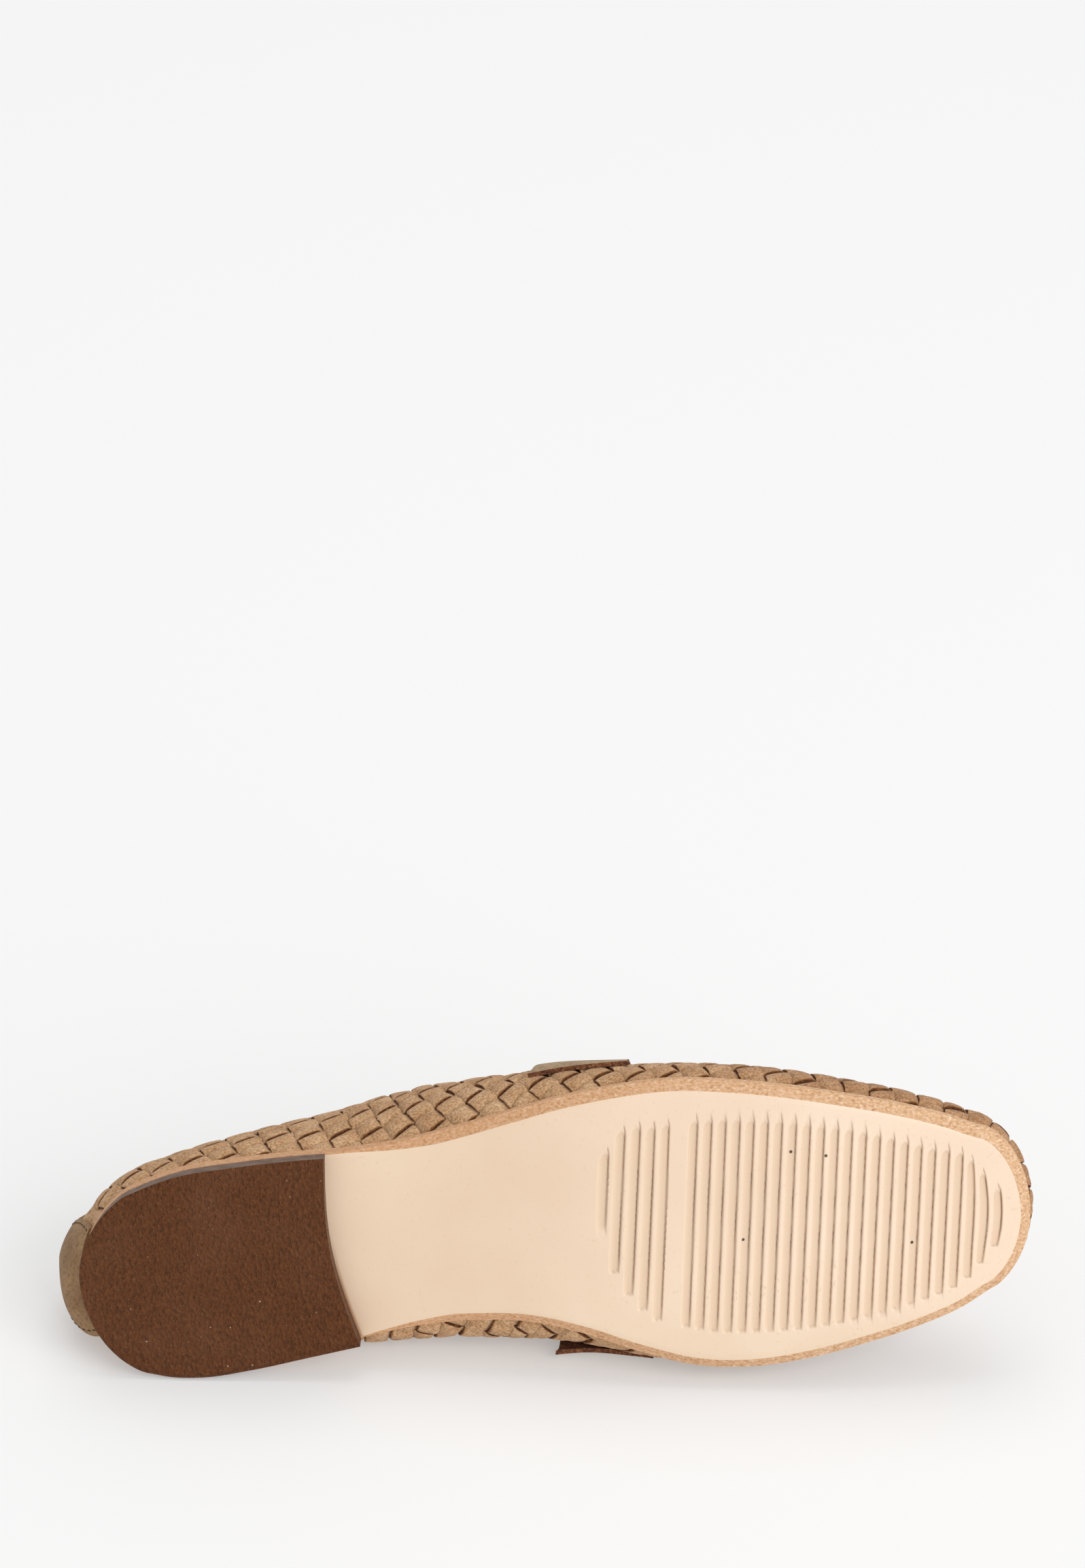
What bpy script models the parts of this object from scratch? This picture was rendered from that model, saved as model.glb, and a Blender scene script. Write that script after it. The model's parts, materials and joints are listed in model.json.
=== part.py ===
"""Woven loafer: a woman's right shoe lying on its inner side, with its sole turned to the viewer.

Every table is in the shoe's own frame, in millimetres: x runs from the back of the heel to the
toe, y to the inner (medial) side and z up from the ground that the shoe would be walked on.
An empty then lays the finished shoe on its side, on the three points that it really rests on.
"""

from math import radians

import bmesh
import bpy
import numpy as np
from mathutils import Matrix, Vector


def table(names, *rows):
    """Columns by name, from rows that are written one under the other."""
    return dict(zip(names.split(), np.array(rows, float).T))


# Driving sizes
MM = 0.001
CLEARANCE = 0.3
SOLE_LENGTH = 258.0
SOLE_THICKNESS = 3.5
SOLE_EDGE = 1.9
BEVEL_FOREPART = 2.7
BEVEL_SEAT = 0.5
BEVEL_STARTS = 76.0
BEVEL_FULL = 100.0
HEEL_HEIGHT = 5.5
HEEL_FLARE = 0.45
HEEL_STATIONS = 16
BREAST_LATERAL = 70.4
BREAST_MEDIAL = 74.2
BREAST_HOLLOW = 3.1
BREAST_STEPS = 8
ARCH_START = 75.0
ARCH_END = 155.0
SPRING_START = 185.0
TOE_SPRING = 7.0
END_ROUNDNESS = 1.6
MIDDLE_MARGIN = 24.0

# Upper, strap, back strip and insole. The strap's widths are taken along the edge of the sole.
FEATHER_INSET = 1.2
WALL = 2.2
STRIP_RELIEF = 0.8
EDGE_SHIFT = 0.14
STRAP_THICKNESS = 1.7
STRAP_STAND_OFF = 1.2
STRAP_END_WIDTH = 27.0
STRAP_TOP_WIDTH = 24.0
BACKSTAY_THICKNESS = 1.4
BACKSTAY_STAND_OFF = 0.35
BACKSTAY_LATERAL = 2
BACKSTAY_MEDIAL = 3
INSOLE_THICKNESS = 3.0
INSOLE_INSET = 5.2

# Stations round the shoe, from the heel's back along the outer side to the toe and back
SIDE_STATIONS = 52
LOOP = 2 * SIDE_STATIONS
THROAT_STATION = 24
CROWN_STATIONS = 3
ROWS = 11
INNER_ROWS = 5
FINE = 400
NEAR_STEP = 0.004
TURN_STARTS = 0.30

# Making the meshes and laying the shoe down
MERGE = 0.00002
SHARP = radians(35)
LEAST_FACING = 0.8

# Ribs pressed into the forepart
RIB_PITCH = 3.76
RIB_FIRST = 143.9
RIB_COUNT = 29
RIB_BARE = 5
RIB_VALLEY = 1.8
RIB_DEPTH = 0.55
RIB_SLANT = radians(6.8)

# Edge of the sole, seen from below. The first and last stretches close in a round end.
OUTLINE = table(
    "x medial lateral",
    (0.5, 26.0, 21.0),
    (16, 26.6, 24.0),
    (30, 29.1, 28.6),
    (45, 28.2, 29.9),
    (60, 25.9, 30.6),
    (75, 23.6, 30.8),
    (90, 21.5, 32.2),
    (105, 20.8, 35.4),
    (120, 21.7, 39.3),
    (135, 25.8, 43.0),
    (150, 32.0, 45.3),
    (165, 37.0, 46.0),
    (180, 38.5, 44.4),
    (195, 37.3, 41.7),
    (210, 34.6, 37.9),
    (225, 31.1, 33.4),
    (238, 26.8, 28.3),
    (247, 22.2, 24.0),
    (SOLE_LENGTH, 20.0, 23.0),
)

# Edge of the collar, from the back to the throat: half widths, sway to the inner side and height
COLLAR = table(
    "x medial lateral sway height",
    (2, 10.0, 10.0, 4.0, 52.0),
    (14, 12.0, 16.0, 4.0, 51.5),
    (30, 15.5, 20.0, 3.5, 50.0),
    (50, 18.5, 24.0, 3.0, 48.0),
    (70, 22.0, 27.2, 2.0, 47.5),
    (86, 25.0, 27.9, 1.0, 51.0),
    (98, 23.0, 24.8, 0.0, 55.7),
    (112, 16.5, 26.0, 0.0, 64.0),
)

# Crest of the vamp, from the throat to the toe
CREST = table(
    "x height",
    (100, 69.0),
    (112, 64.0),
    (125, 58.8),
    (140, 53.4),
    (155, 48.8),
    (170, 45.2),
    (185, 42.3),
    (200, 39.6),
    (215, 36.6),
    (228, 33.4),
    (240, 29.0),
    (252, 23.0),
)
CREST_END = 238.0

# Sections of the last, by the share of the way along a side. Each section is a curve that leaves
# the sole by a pull outwards and a rise, and comes to the collar or crest from a reach outwards
# and a drop below it.
SECTIONS = table(
    "along medial_pull lateral_pull medial_rise lateral_rise medial_reach lateral_reach drop",
    (0.00, 14.0, 14.0, 11.0, 11.0, 9.5, 9.5, 18.0),
    (0.05, 22.0, 6.1, 8.0, 14.4, 5.0, 4.4, 17.0),
    (0.11, 1.0, 3.1, 6.0, 15.5, 0.5, 4.2, 16.0),
    (0.20, -3.5, 2.5, 6.0, 14.0, 0.5, 7.7, 15.0),
    (0.30, 10.0, 4.2, 6.0, 10.0, 1.5, 9.2, 15.0),
    (0.40, 22.5, 9.9, 6.0, 12.0, 5.0, 20.9, 14.0),
    (0.46, 24.5, 13.0, 7.0, 14.0, 13.0, 31.2, 6.0),
    (0.50, 22.0, 10.8, 8.0, 14.0, 19.0, 34.0, 1.0),
    (0.60, 14.0, 6.5, 11.0, 15.0, 26.0, 29.0, 0.0),
    (0.70, 10.0, 8.0, 12.0, 12.0, 27.0, 29.0, 0.0),
    (0.80, 8.0, 8.0, 11.0, 11.0, 23.0, 25.0, 0.0),
    (0.90, 7.0, 7.0, 10.0, 10.0, 21.0, 22.0, 0.0),
    (1.00, 5.5, 5.5, 9.0, 9.0, 13.0, 13.0, 0.0),
)

# Saddle strap: how far along each side its middle lies, from its free ends up to the crest
STRAP_LINE = table(
    "up medial lateral",
    (0.20, 0.545, 0.532),
    (0.60, 0.557, 0.550),
    (0.90, 0.566, 0.565),
    (1.00, 0.566, 0.566),
)
STRAP_END_UP = 0.20
STRAP_STEPS = 14
STRAP_ACROSS = 4

# Pressed panel of ribs: where the ribs end on each side
PANEL = table(
    "x medial lateral",
    (142.5, -9.0, 24.0),
    (147.0, 6.0, 32.0),
    (155.0, 18.7, 33.2),
    (170.0, 25.7, 34.0),
    (190.0, 27.8, 32.2),
    (210.0, 26.8, 27.6),
    (228.0, 23.3, 21.0),
    (242.0, 17.7, 15.0),
    (250.0, 9.0, 5.0),
)

SIGN = {"medial": 1.0, "lateral": -1.0}


def smooth(columns, name, at):
    """One column read anywhere along the table's first column, on a cubic through its rows."""
    places = next(iter(columns.values()))
    values = columns[name]
    slopes = np.gradient(values, places)
    row = np.clip(np.searchsorted(places, at) - 1, 0, len(places) - 2)
    step = places[row + 1] - places[row]
    t = np.clip((at - places[row]) / step, 0.0, 1.0)
    leave = (1 + 2 * t) * (1 - t) ** 2 * values[row] + t * (1 - t) ** 2 * step * slopes[row]
    arrive = t**2 * (3 - 2 * t) * values[row + 1] + t**2 * (t - 1) * step * slopes[row + 1]
    return leave + arrive


def evenly(points, count):
    """The same line cut into a number of equal lengths."""
    lengths = np.linalg.norm(np.diff(points, axis=0), axis=1)
    travelled = np.concatenate(([0.0], np.cumsum(lengths)))
    wanted = np.linspace(0.0, travelled[-1], count + 1)
    return np.column_stack([np.interp(wanted, travelled, axis) for axis in points.T])


def side_line(columns, side, count):
    """One side of a closed outline from its back end to its front end, at equal steps."""
    places = columns["x"]
    turn = np.linspace(0.0, np.pi, FINE)
    x = places[0] + (places[-1] - places[0]) * (1 - np.cos(turn)) / 2
    back = np.clip((places[1] - x) / (places[1] - places[0]), 0.0, 1.0)
    front = np.clip((x - places[-2]) / (places[-1] - places[-2]), 0.0, 1.0)
    closing = np.sqrt(1 - np.maximum(back, front) ** END_ROUNDNESS)
    return evenly(np.column_stack((x, SIGN[side] * smooth(columns, side, x) * closing)), count)


def inset(loop, distance):
    """A closed outline moved inwards, by one distance or by one for each point."""
    along = np.roll(loop, -1, axis=0) - np.roll(loop, 1, axis=0)
    outward = np.column_stack((along[:, 1], -along[:, 0]))
    outward /= np.linalg.norm(outward, axis=1)[:, None]
    return loop - outward * np.broadcast_to(distance, len(loop))[:, None]


def sole_loop(count):
    """The sole's edge as one closed loop: heel back, outer side, toe, inner side."""
    outer = side_line(OUTLINE, "lateral", count)
    inner = side_line(OUTLINE, "medial", count)
    return np.concatenate((outer, inner[-2:0:-1]))


def tread_height(x):
    """Height of the sole's underside: level seat, arch, flat forepart and toe spring."""
    arch = np.clip((ARCH_END - x) / (ARCH_END - ARCH_START), 0.0, 1.0)
    toe = np.clip((x - SPRING_START) / (SOLE_LENGTH - SPRING_START), 0.0, 1.0)
    return HEEL_HEIGHT * arch**2 * (3 - 2 * arch) + TOE_SPRING * toe**2


def raised(loop, lift):
    """A flat outline laid on the sole's underside and lifted from it."""
    return np.column_stack((loop, tread_height(loop[:, 0]) + lift))


def middle_line(loop):
    """For each point of a sole outline, the point of the sole's middle line that faces it."""
    facing = np.roll(loop[::-1], 1, axis=0)
    x = np.clip((loop[:, 0] + facing[:, 0]) / 2, MIDDLE_MARGIN, SOLE_LENGTH - MIDDLE_MARGIN)
    y = (smooth(OUTLINE, "medial", x) - smooth(OUTLINE, "lateral", x)) / 2
    return np.column_stack((x, y))


FINE_FEATHER = inset(sole_loop(FINE), FEATHER_INSET)
FEATHER = {
    "lateral": FINE_FEATHER[: FINE + 1],
    "medial": np.roll(FINE_FEATHER[::-1], 1, axis=0)[: FINE + 1],
}
COLLAR_LINE = {side: side_line(COLLAR, side, FINE) for side in SIGN}
THROAT_ALONG = THROAT_STATION / SIDE_STATIONS


def read_line(line, share):
    """Points at given shares of the way along a line."""
    shares = np.linspace(0.0, 1.0, len(line))
    return np.column_stack([np.interp(share, shares, axis) for axis in line.T])


def top_edge(side, along):
    """Where a section ends: on the collar behind the throat, on the crest in front of it."""
    collar = read_line(COLLAR_LINE[side], np.clip(along / THROAT_ALONG, 0.0, 1.0))
    crest_share = np.clip((along - THROAT_ALONG) / (1 - THROAT_ALONG), 0.0, 1.0)
    throat = COLLAR["x"][-1]
    crest_x = throat + (CREST_END - throat) * crest_share
    x = np.where(along < THROAT_ALONG, collar[:, 0], crest_x)
    y = np.where(along < THROAT_ALONG, collar[:, 1], 0.0)
    y += np.where(along < THROAT_ALONG, smooth(COLLAR, "sway", x), 0.0)
    collar_height = smooth(COLLAR, "height", x)
    height = np.where(along < THROAT_ALONG, collar_height, smooth(CREST, "height", x))
    return np.column_stack((x, y, height))


def last_surface(side, along, up):
    """Points on the outside of the last, by the share along a side and up from sole to edge."""
    along, up = np.broadcast_arrays(np.atleast_1d(along).astype(float), np.atleast_1d(up))
    foot = raised(read_line(FEATHER[side], along), SOLE_THICKNESS + CLEARANCE)
    edge = top_edge(side, along)
    near = read_line(FEATHER[side], np.maximum(along - NEAR_STEP, 0.0))
    far = read_line(FEATHER[side], np.minimum(along + NEAR_STEP, 1.0))
    tangent = far - near
    outward = SIGN[side] * np.column_stack((-tangent[:, 1], tangent[:, 0]))
    outward /= np.linalg.norm(outward, axis=1)[:, None]
    outward[along <= 0.0] = (-1.0, 0.0)
    outward[along >= 1.0] = (1.0, 0.0)
    toward = foot[:, :2] - edge[:, :2]
    spread = np.linalg.norm(toward, axis=1)[:, None]
    toward = np.where(spread > WALL, toward / np.maximum(spread, WALL), outward)

    leaving = foot.copy()
    leaving[:, :2] += outward * smooth(SECTIONS, side + "_pull", along)[:, None]
    leaving[:, 2] += smooth(SECTIONS, side + "_rise", along)
    arriving = edge.copy()
    blend = np.clip((along - TURN_STARTS) / (THROAT_ALONG - TURN_STARTS), 0.0, 1.0)[:, None]
    heading = outward * (1 - blend) + toward * blend
    heading /= np.linalg.norm(heading, axis=1)[:, None]
    arriving[:, :2] += heading * smooth(SECTIONS, side + "_reach", along)[:, None]
    fall = smooth(CREST, "height", arriving[:, 0]) - smooth(CREST, "height", edge[:, 0])
    arriving[:, 2] += np.where(along < THROAT_ALONG, 0.0, fall)
    arriving[:, 2] -= smooth(SECTIONS, "drop", along)
    t = up[:, None]
    return (
        (1 - t) ** 3 * foot
        + 3 * (1 - t) ** 2 * t * leaving
        + 3 * (1 - t) * t**2 * arriving
        + t**3 * edge
    )


def station_side(k):
    """The side and the share along it of one station of the loop."""
    k = k % LOOP
    if k <= SIDE_STATIONS:
        return "lateral", k / SIDE_STATIONS
    return "medial", (LOOP - k) / SIDE_STATIONS


def vertex(k, row, rows):
    """Number of a grid point. Along the crest the two sides share their points."""
    k = k % LOOP
    if row == rows and SIDE_STATIONS < k <= LOOP - THROAT_STATION:
        k = LOOP - k
    return row * LOOP + k


def last_grid(rows):
    """Points of the last at every station and row, and the quads between them."""
    ups = np.linspace(0.0, 1.0, rows + 1)
    columns = [last_surface(*station_side(k), ups) for k in range(LOOP)]
    points = np.stack(columns, axis=1).reshape(-1, 3)
    quads = []
    for row in range(rows):
        for k in range(LOOP):
            corners = ((k, row), (k + 1, row), (k + 1, row + 1), (k, row + 1))
            quads.append([vertex(*corner, rows) for corner in corners])
    return points, quads


def outward_normals(points, quads):
    """Unit normals of a grid, each the mean over the quads that share the point."""
    quads = np.array(quads)
    a, b, c, d = (points[quads[:, i]] for i in range(4))
    facing = np.cross(c - a, d - b)
    normals = np.zeros_like(points)
    for i in range(4):
        np.add.at(normals, quads[:, i], facing)
    lengths = np.linalg.norm(normals, axis=1)[:, None]
    return normals / np.maximum(lengths, 1e-9)


def clear_scene():
    for item in list(bpy.data.objects):
        bpy.data.objects.remove(item)


def new_collection(name):
    made = bpy.data.collections.new(name)
    bpy.context.scene.collection.children.link(made)
    return made


def finish(name, hex_colour, roughness):
    """A Principled material from an sRGB colour."""
    material = bpy.data.materials.new(name)
    material.use_nodes = True
    shader = material.node_tree.nodes["Principled BSDF"]
    channels = [int(hex_colour[i : i + 2], 16) / 255 for i in (1, 3, 5)]
    linear = [c / 12.92 if c <= 0.04045 else ((c + 0.055) / 1.055) ** 2.4 for c in channels]
    shader.inputs["Base Color"].default_value = (*linear, 1.0)
    shader.inputs["Roughness"].default_value = roughness
    shader.inputs["Metallic"].default_value = 0.0
    return material


def add_solid(name, points, faces, material, collection, closed=True):
    """An object from points in millimetres, with unused points dropped and doubles merged."""
    mesh = bpy.data.meshes.new(name)
    mesh.from_pydata((np.asarray(points) * MM).tolist(), [], faces)
    shape = bmesh.new()
    shape.from_mesh(mesh)
    bmesh.ops.delete(shape, geom=[v for v in shape.verts if not v.link_faces], context="VERTS")
    bmesh.ops.remove_doubles(shape, verts=shape.verts, dist=MERGE)
    if closed:
        bmesh.ops.recalc_face_normals(shape, faces=shape.faces)
    shape.to_mesh(mesh)
    shape.free()
    mesh.shade_smooth()
    mesh.set_sharp_from_angle(angle=SHARP)
    mesh.materials.append(material)
    made = bpy.data.objects.new(name, mesh)
    collection.objects.link(made)
    return made


def ring_faces(count, size):
    """Quads between closed rings that follow one another."""
    faces = []
    for ring in range(count - 1):
        for k in range(size):
            after = (k + 1) % size
            low, high = ring * size, (ring + 1) * size
            faces.append((low + k, low + after, high + after, high + k))
    return faces


def make_outsole(collection):
    """Leather outsole: a flat sheet with a bevelled raw edge, bent to the arch and toe spring."""
    loop = sole_loop(SIDE_STATIONS)
    forward = np.clip((loop[:, 0] - BEVEL_STARTS) / (BEVEL_FULL - BEVEL_STARTS), 0.0, 1.0)
    bevel = BEVEL_SEAT + (BEVEL_FOREPART - BEVEL_SEAT) * forward
    edge_foot = (SOLE_THICKNESS - SOLE_EDGE) * bevel / BEVEL_FOREPART
    underside = inset(loop, bevel)
    middle = middle_line(loop)
    rings = (
        raised(middle, SOLE_THICKNESS),
        raised(loop, SOLE_THICKNESS),
        raised(loop, edge_foot),
        raised(underside, 0.0),
        raised(middle, 0.0),
    )
    made = add_solid(
        "outsole",
        np.concatenate(rings),
        ring_faces(len(rings), LOOP),
        finish("sole_leather", "#EFD9B8", 0.5),
        collection,
    )
    return made


def cut_ribs(outsole, collection):
    """Valleys pressed across the forepart, with one wider rib left bare near the panel's back."""
    shape = bmesh.new()
    for number in range(RIB_COUNT):
        if number == RIB_BARE:
            continue
        x = RIB_FIRST + RIB_PITCH * number
        inner = smooth(PANEL, "medial", x)
        outer = smooth(PANEL, "lateral", x)
        slope = np.arctan2(tread_height(x + 1) - tread_height(x - 1), 2.0)
        size = Matrix.Diagonal((RIB_VALLEY * MM, (inner + outer) * MM, 2 * RIB_DEPTH * MM, 1.0))
        place = Matrix.Translation(Vector((x, (inner - outer) / 2, tread_height(x))) * MM)
        turn = Matrix.Rotation(-slope, 4, "Y") @ Matrix.Rotation(RIB_SLANT, 4, "Z")
        bmesh.ops.create_cube(shape, size=1.0, matrix=place @ turn @ size)
    mesh = bpy.data.meshes.new("rib_cutter")
    shape.to_mesh(mesh)
    shape.free()
    cutter = bpy.data.objects.new("rib_cutter", mesh)
    collection.objects.link(cutter)
    cutter.hide_render = True
    cutter.display_type = "WIRE"
    cut = outsole.modifiers.new("ribs", "BOOLEAN")
    cut.operation = "DIFFERENCE"
    cut.solver = "EXACT"
    cut.object = cutter
    return cutter


def make_heel(collection):
    """Rubber heel lift: the heel's outline back of a hollow breast, with a slight flare."""
    outer, inner = (side_line(OUTLINE, side, FINE) for side in ("lateral", "medial"))
    outer = evenly(outer[outer[:, 0] < BREAST_LATERAL], HEEL_STATIONS)
    inner = evenly(inner[inner[:, 0] < BREAST_MEDIAL], HEEL_STATIONS)
    share = np.linspace(0.0, 1.0, BREAST_STEPS + 1)[1:-1, None]
    breast = outer[-1] + (inner[-1] - outer[-1]) * share
    breast[:, 0] -= BREAST_HOLLOW * np.sin(np.pi * share[:, 0])
    outline = np.concatenate((outer, breast, inner[:0:-1]))
    count = len(outline)
    top = np.column_stack((outline, np.full(count, HEEL_HEIGHT - CLEARANCE)))
    foot = np.column_stack((inset(outline, -HEEL_FLARE), np.zeros(count)))
    faces = ring_faces(2, count)
    faces.append(list(range(count)))
    faces.append(list(range(count, 2 * count)))
    return add_solid(
        "heel_lift",
        np.concatenate((top, foot)),
        faces,
        finish("heel_rubber", "#54351F", 0.6),
        collection,
    )


def is_plain(k, row):
    """Whether a grid point lies on the sole seam, the turned collar, the toe cap's crown or under
    the back strip, where no strip stands out."""
    k = k % LOOP
    along = min(k, LOOP - k)
    on_collar = along <= THROAT_STATION + 1 and row >= ROWS - 1
    on_crown = along >= SIDE_STATIONS - CROWN_STATIONS and row >= ROWS - CROWN_STATIONS
    under_strip = k <= BACKSTAY_LATERAL or k >= LOOP - BACKSTAY_MEDIAL
    return row == 0 or on_collar or on_crown or under_strip


def make_upper(collection):
    """Woven upper: one wall over the last, with each crossing of the diagonal strips raised."""
    points, quads = last_grid(ROWS)
    normals = outward_normals(points, quads)
    outer = points.copy()
    middles = []
    faces = []
    for row in range(ROWS + 1):
        for k in range(LOOP):
            if (k + row) % 2 == 0 and not is_plain(k, row):
                at = vertex(k, row, ROWS)
                outer[at] = points[at] + normals[at] * STRIP_RELIEF
    for row in range(ROWS):
        for k in range(LOOP):
            corners = [(k, row), (k + 1, row), (k + 1, row + 1), (k, row + 1)]
            ring = [vertex(*corner, ROWS) for corner in corners]
            under, over = (0, 2) if (k + row) % 2 == 0 else (1, 3)
            if corners[under][0] % 2:
                under, over = over, under
            middle = outer[ring].mean(axis=0)
            if not (is_plain(*corners[under]) or is_plain(*corners[over])):
                middle = middle + (outer[ring[under]] - outer[ring[over]]) * EDGE_SHIFT
            middles.append(middle)
            centre = len(points) + len(middles) - 1
            faces.extend((ring[i], ring[(i + 1) % 4], centre) for i in range(4))

    inner_points, inner_quads = last_grid(INNER_ROWS)
    inner = inner_points - outward_normals(inner_points, inner_quads) * WALL
    foot = slice(0, LOOP)
    inner[foot, 2] = inner_points[foot, 2]
    start = len(points) + len(middles)
    faces.extend([start + i for i in reversed(quad)] for quad in inner_quads)
    for k in range(LOOP):
        low = (vertex(k + 1, 0, ROWS), vertex(k, 0, ROWS))
        faces.append((*low, start + vertex(k, 0, INNER_ROWS), start + vertex(k + 1, 0, INNER_ROWS)))
    for k in range(-THROAT_STATION, THROAT_STATION):
        high = (vertex(k, ROWS, ROWS), vertex(k + 1, ROWS, ROWS))
        inside = (vertex(k + 1, INNER_ROWS, INNER_ROWS), vertex(k, INNER_ROWS, INNER_ROWS))
        faces.append((*high, start + inside[0], start + inside[1]))
    return add_solid(
        "upper",
        np.concatenate((outer, np.array(middles), inner)),
        faces,
        finish("woven_suede", "#A5835E", 0.9),
        collection,
    )


def thickened(made, thickness):
    """Turns an open patch into a wall that grows outwards from it."""
    wall = made.modifiers.new("wall", "SOLIDIFY")
    wall.thickness = thickness * MM
    wall.offset = 1.0
    wall.use_even_offset = True
    return made


def patch_faces(rows, columns):
    faces = []
    for row in range(rows - 1):
        for column in range(columns - 1):
            at = row * columns + column
            faces.append((at, at + 1, at + columns + 1, at + columns))
    return faces


def make_backstay(collection):
    """Plain suede strip up the back of the heel, laid over the weave and stitched down."""
    points, quads = last_grid(ROWS)
    lifted = points + outward_normals(points, quads) * BACKSTAY_STAND_OFF
    stations = range(-BACKSTAY_MEDIAL, BACKSTAY_LATERAL + 1)
    patch = [lifted[vertex(k, row, ROWS)] for row in range(1, ROWS + 1) for k in stations]
    made = add_solid(
        "backstay",
        np.array(patch),
        patch_faces(ROWS, len(stations)),
        finish("plain_suede", "#97795A", 0.9),
        collection,
        closed=False,
    )
    return thickened(made, BACKSTAY_THICKNESS)


def make_strap(collection):
    """Saddle strap over the instep, narrow on top, with free flared ends that stand off a little."""
    ups = np.linspace(STRAP_END_UP, 1.0, STRAP_STEPS + 1)
    sides = [("lateral", up) for up in ups] + [("medial", up) for up in ups[-2::-1]]
    side_length = np.linalg.norm(np.diff(FEATHER["lateral"], axis=0), axis=1).sum()
    across = np.linspace(-0.5, 0.5, STRAP_ACROSS + 1)
    rows = []
    for side, up in sides:
        share = (up - STRAP_END_UP) / (1 - STRAP_END_UP)
        narrow = share**0.5 * (2 - share**0.5)
        width = STRAP_END_WIDTH + (STRAP_TOP_WIDTH - STRAP_END_WIDTH) * narrow
        along = smooth(STRAP_LINE, side, up) + across * width / side_length
        here = last_surface(side, along, up)
        ahead = last_surface(side, along + NEAR_STEP, up)
        forward = ahead - last_surface(side, along - NEAR_STEP, up)
        upward = here - last_surface(side, along, up - NEAR_STEP)
        normal = np.cross(upward, forward) * SIGN[side]
        if up == 1.0:
            normal = np.column_stack((-forward[:, 2], np.zeros(len(across)), forward[:, 0]))
        normal /= np.linalg.norm(normal, axis=1)[:, None]
        rows.append(here + normal * STRAP_STAND_OFF)
    made = add_solid(
        "saddle_strap",
        np.concatenate(rows),
        patch_faces(len(rows), STRAP_ACROSS + 1),
        finish("strap_suede", "#B3946D", 0.9),
        collection,
        closed=False,
    )
    return thickened(made, STRAP_THICKNESS)


def make_insole(collection):
    """Insole sheet that lies inside the upper on the outsole."""
    loop = inset(sole_loop(SIDE_STATIONS), INSOLE_INSET)
    middle = middle_line(loop)
    low = SOLE_THICKNESS + CLEARANCE
    high = low + INSOLE_THICKNESS
    rings = (raised(middle, high), raised(loop, high), raised(loop, low), raised(middle, low))
    return add_solid(
        "insole",
        np.concatenate(rings),
        ring_faces(len(rings), LOOP),
        finish("insole_leather", "#C9A67C", 0.6),
        collection,
    )


def evaluated_points(made, graph):
    """A finished object's points and triangles, in the shoe's frame."""
    mesh = made.evaluated_get(graph).to_mesh()
    mesh.calc_loop_triangles()
    points = np.array([v.co[:] for v in mesh.vertices])
    triangles = np.array([t.vertices[:] for t in mesh.loop_triangles])
    return points, triangles


def mass_centre(meshes):
    """Centre of the volume of several closed meshes."""
    total = 0.0
    moment = np.zeros(3)
    for points, triangles in meshes:
        corners = points[triangles]
        volumes = np.linalg.det(corners) / 6
        total += volumes.sum()
        moment += (volumes[:, None] * corners.sum(axis=1) / 4).sum(axis=0)
    return moment / total


def inside_triangle(point, corners, normal):
    """Whether a point, moved along the normal, falls inside a triangle."""
    for i in range(3):
        side = corners[(i + 1) % 3] - corners[i]
        if np.dot(np.cross(side, point - corners[i]), normal) < 0:
            return False
    return True


def resting_matrix(meshes):
    """Lays the shoe on the hull face of its inner side that its centre of mass stands over.

    Of several such faces it takes the flattest one that leans to the collar, so that the sole's
    edge and the upper both reach the floor.
    """
    centre = mass_centre(meshes)
    points = np.concatenate([mesh[0] for mesh in meshes])
    hull = bmesh.new()
    for point in points:
        hull.verts.new(point)
    bmesh.ops.convex_hull(hull, input=hull.verts, use_existing_faces=False)
    bmesh.ops.triangulate(hull, faces=hull.faces)
    down = np.array((0.0, LEAST_FACING, 0.0))
    for face in hull.faces:
        corners = np.array([v.co[:] for v in face.verts])
        normal = np.cross(corners[1] - corners[0], corners[2] - corners[0])
        normal /= np.linalg.norm(normal)
        if normal[1] > down[1] and normal[2] > 0 and inside_triangle(centre, corners, normal):
            down = normal
    hull.free()
    upright = -down
    forward = np.array((1.0, 0.0, 0.0)) - down[0] * down
    forward /= np.linalg.norm(forward)
    turn = np.array((forward, np.cross(upright, forward), upright))
    turned = points @ turn.T
    low, high = turned.min(axis=0), turned.max(axis=0)
    shift = -np.array(((low[0] + high[0]) / 2, (low[1] + high[1]) / 2, low[2]))
    return Matrix.Translation(Vector(shift)) @ Matrix(turn.tolist()).to_4x4()


clear_scene()
loafer = new_collection("woven_loafer")
cutters = new_collection("cutters")
outsole = make_outsole(loafer)
rib_cutter = cut_ribs(outsole, cutters)
pieces = [
    outsole,
    make_heel(loafer),
    make_upper(loafer),
    make_backstay(loafer),
    make_strap(loafer),
    make_insole(loafer),
]
bpy.context.view_layer.update()
depsgraph = bpy.context.evaluated_depsgraph_get()
lying = bpy.data.objects.new("lying_on_side", None)
loafer.objects.link(lying)
lying.matrix_world = resting_matrix([evaluated_points(piece, depsgraph) for piece in pieces])
for piece in [*pieces, rib_cutter]:
    piece.parent = lying
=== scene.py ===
"""Woven loafer: the finished look of one right shoe lying on its inner side on a studio floor.

The shoe's own frame is in millimetres: x runs from the back of the heel to the toe, y to the
inner side and z up from the ground. Every piece is drawn in that frame and then laid down.
"""

import json
from math import radians

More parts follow.
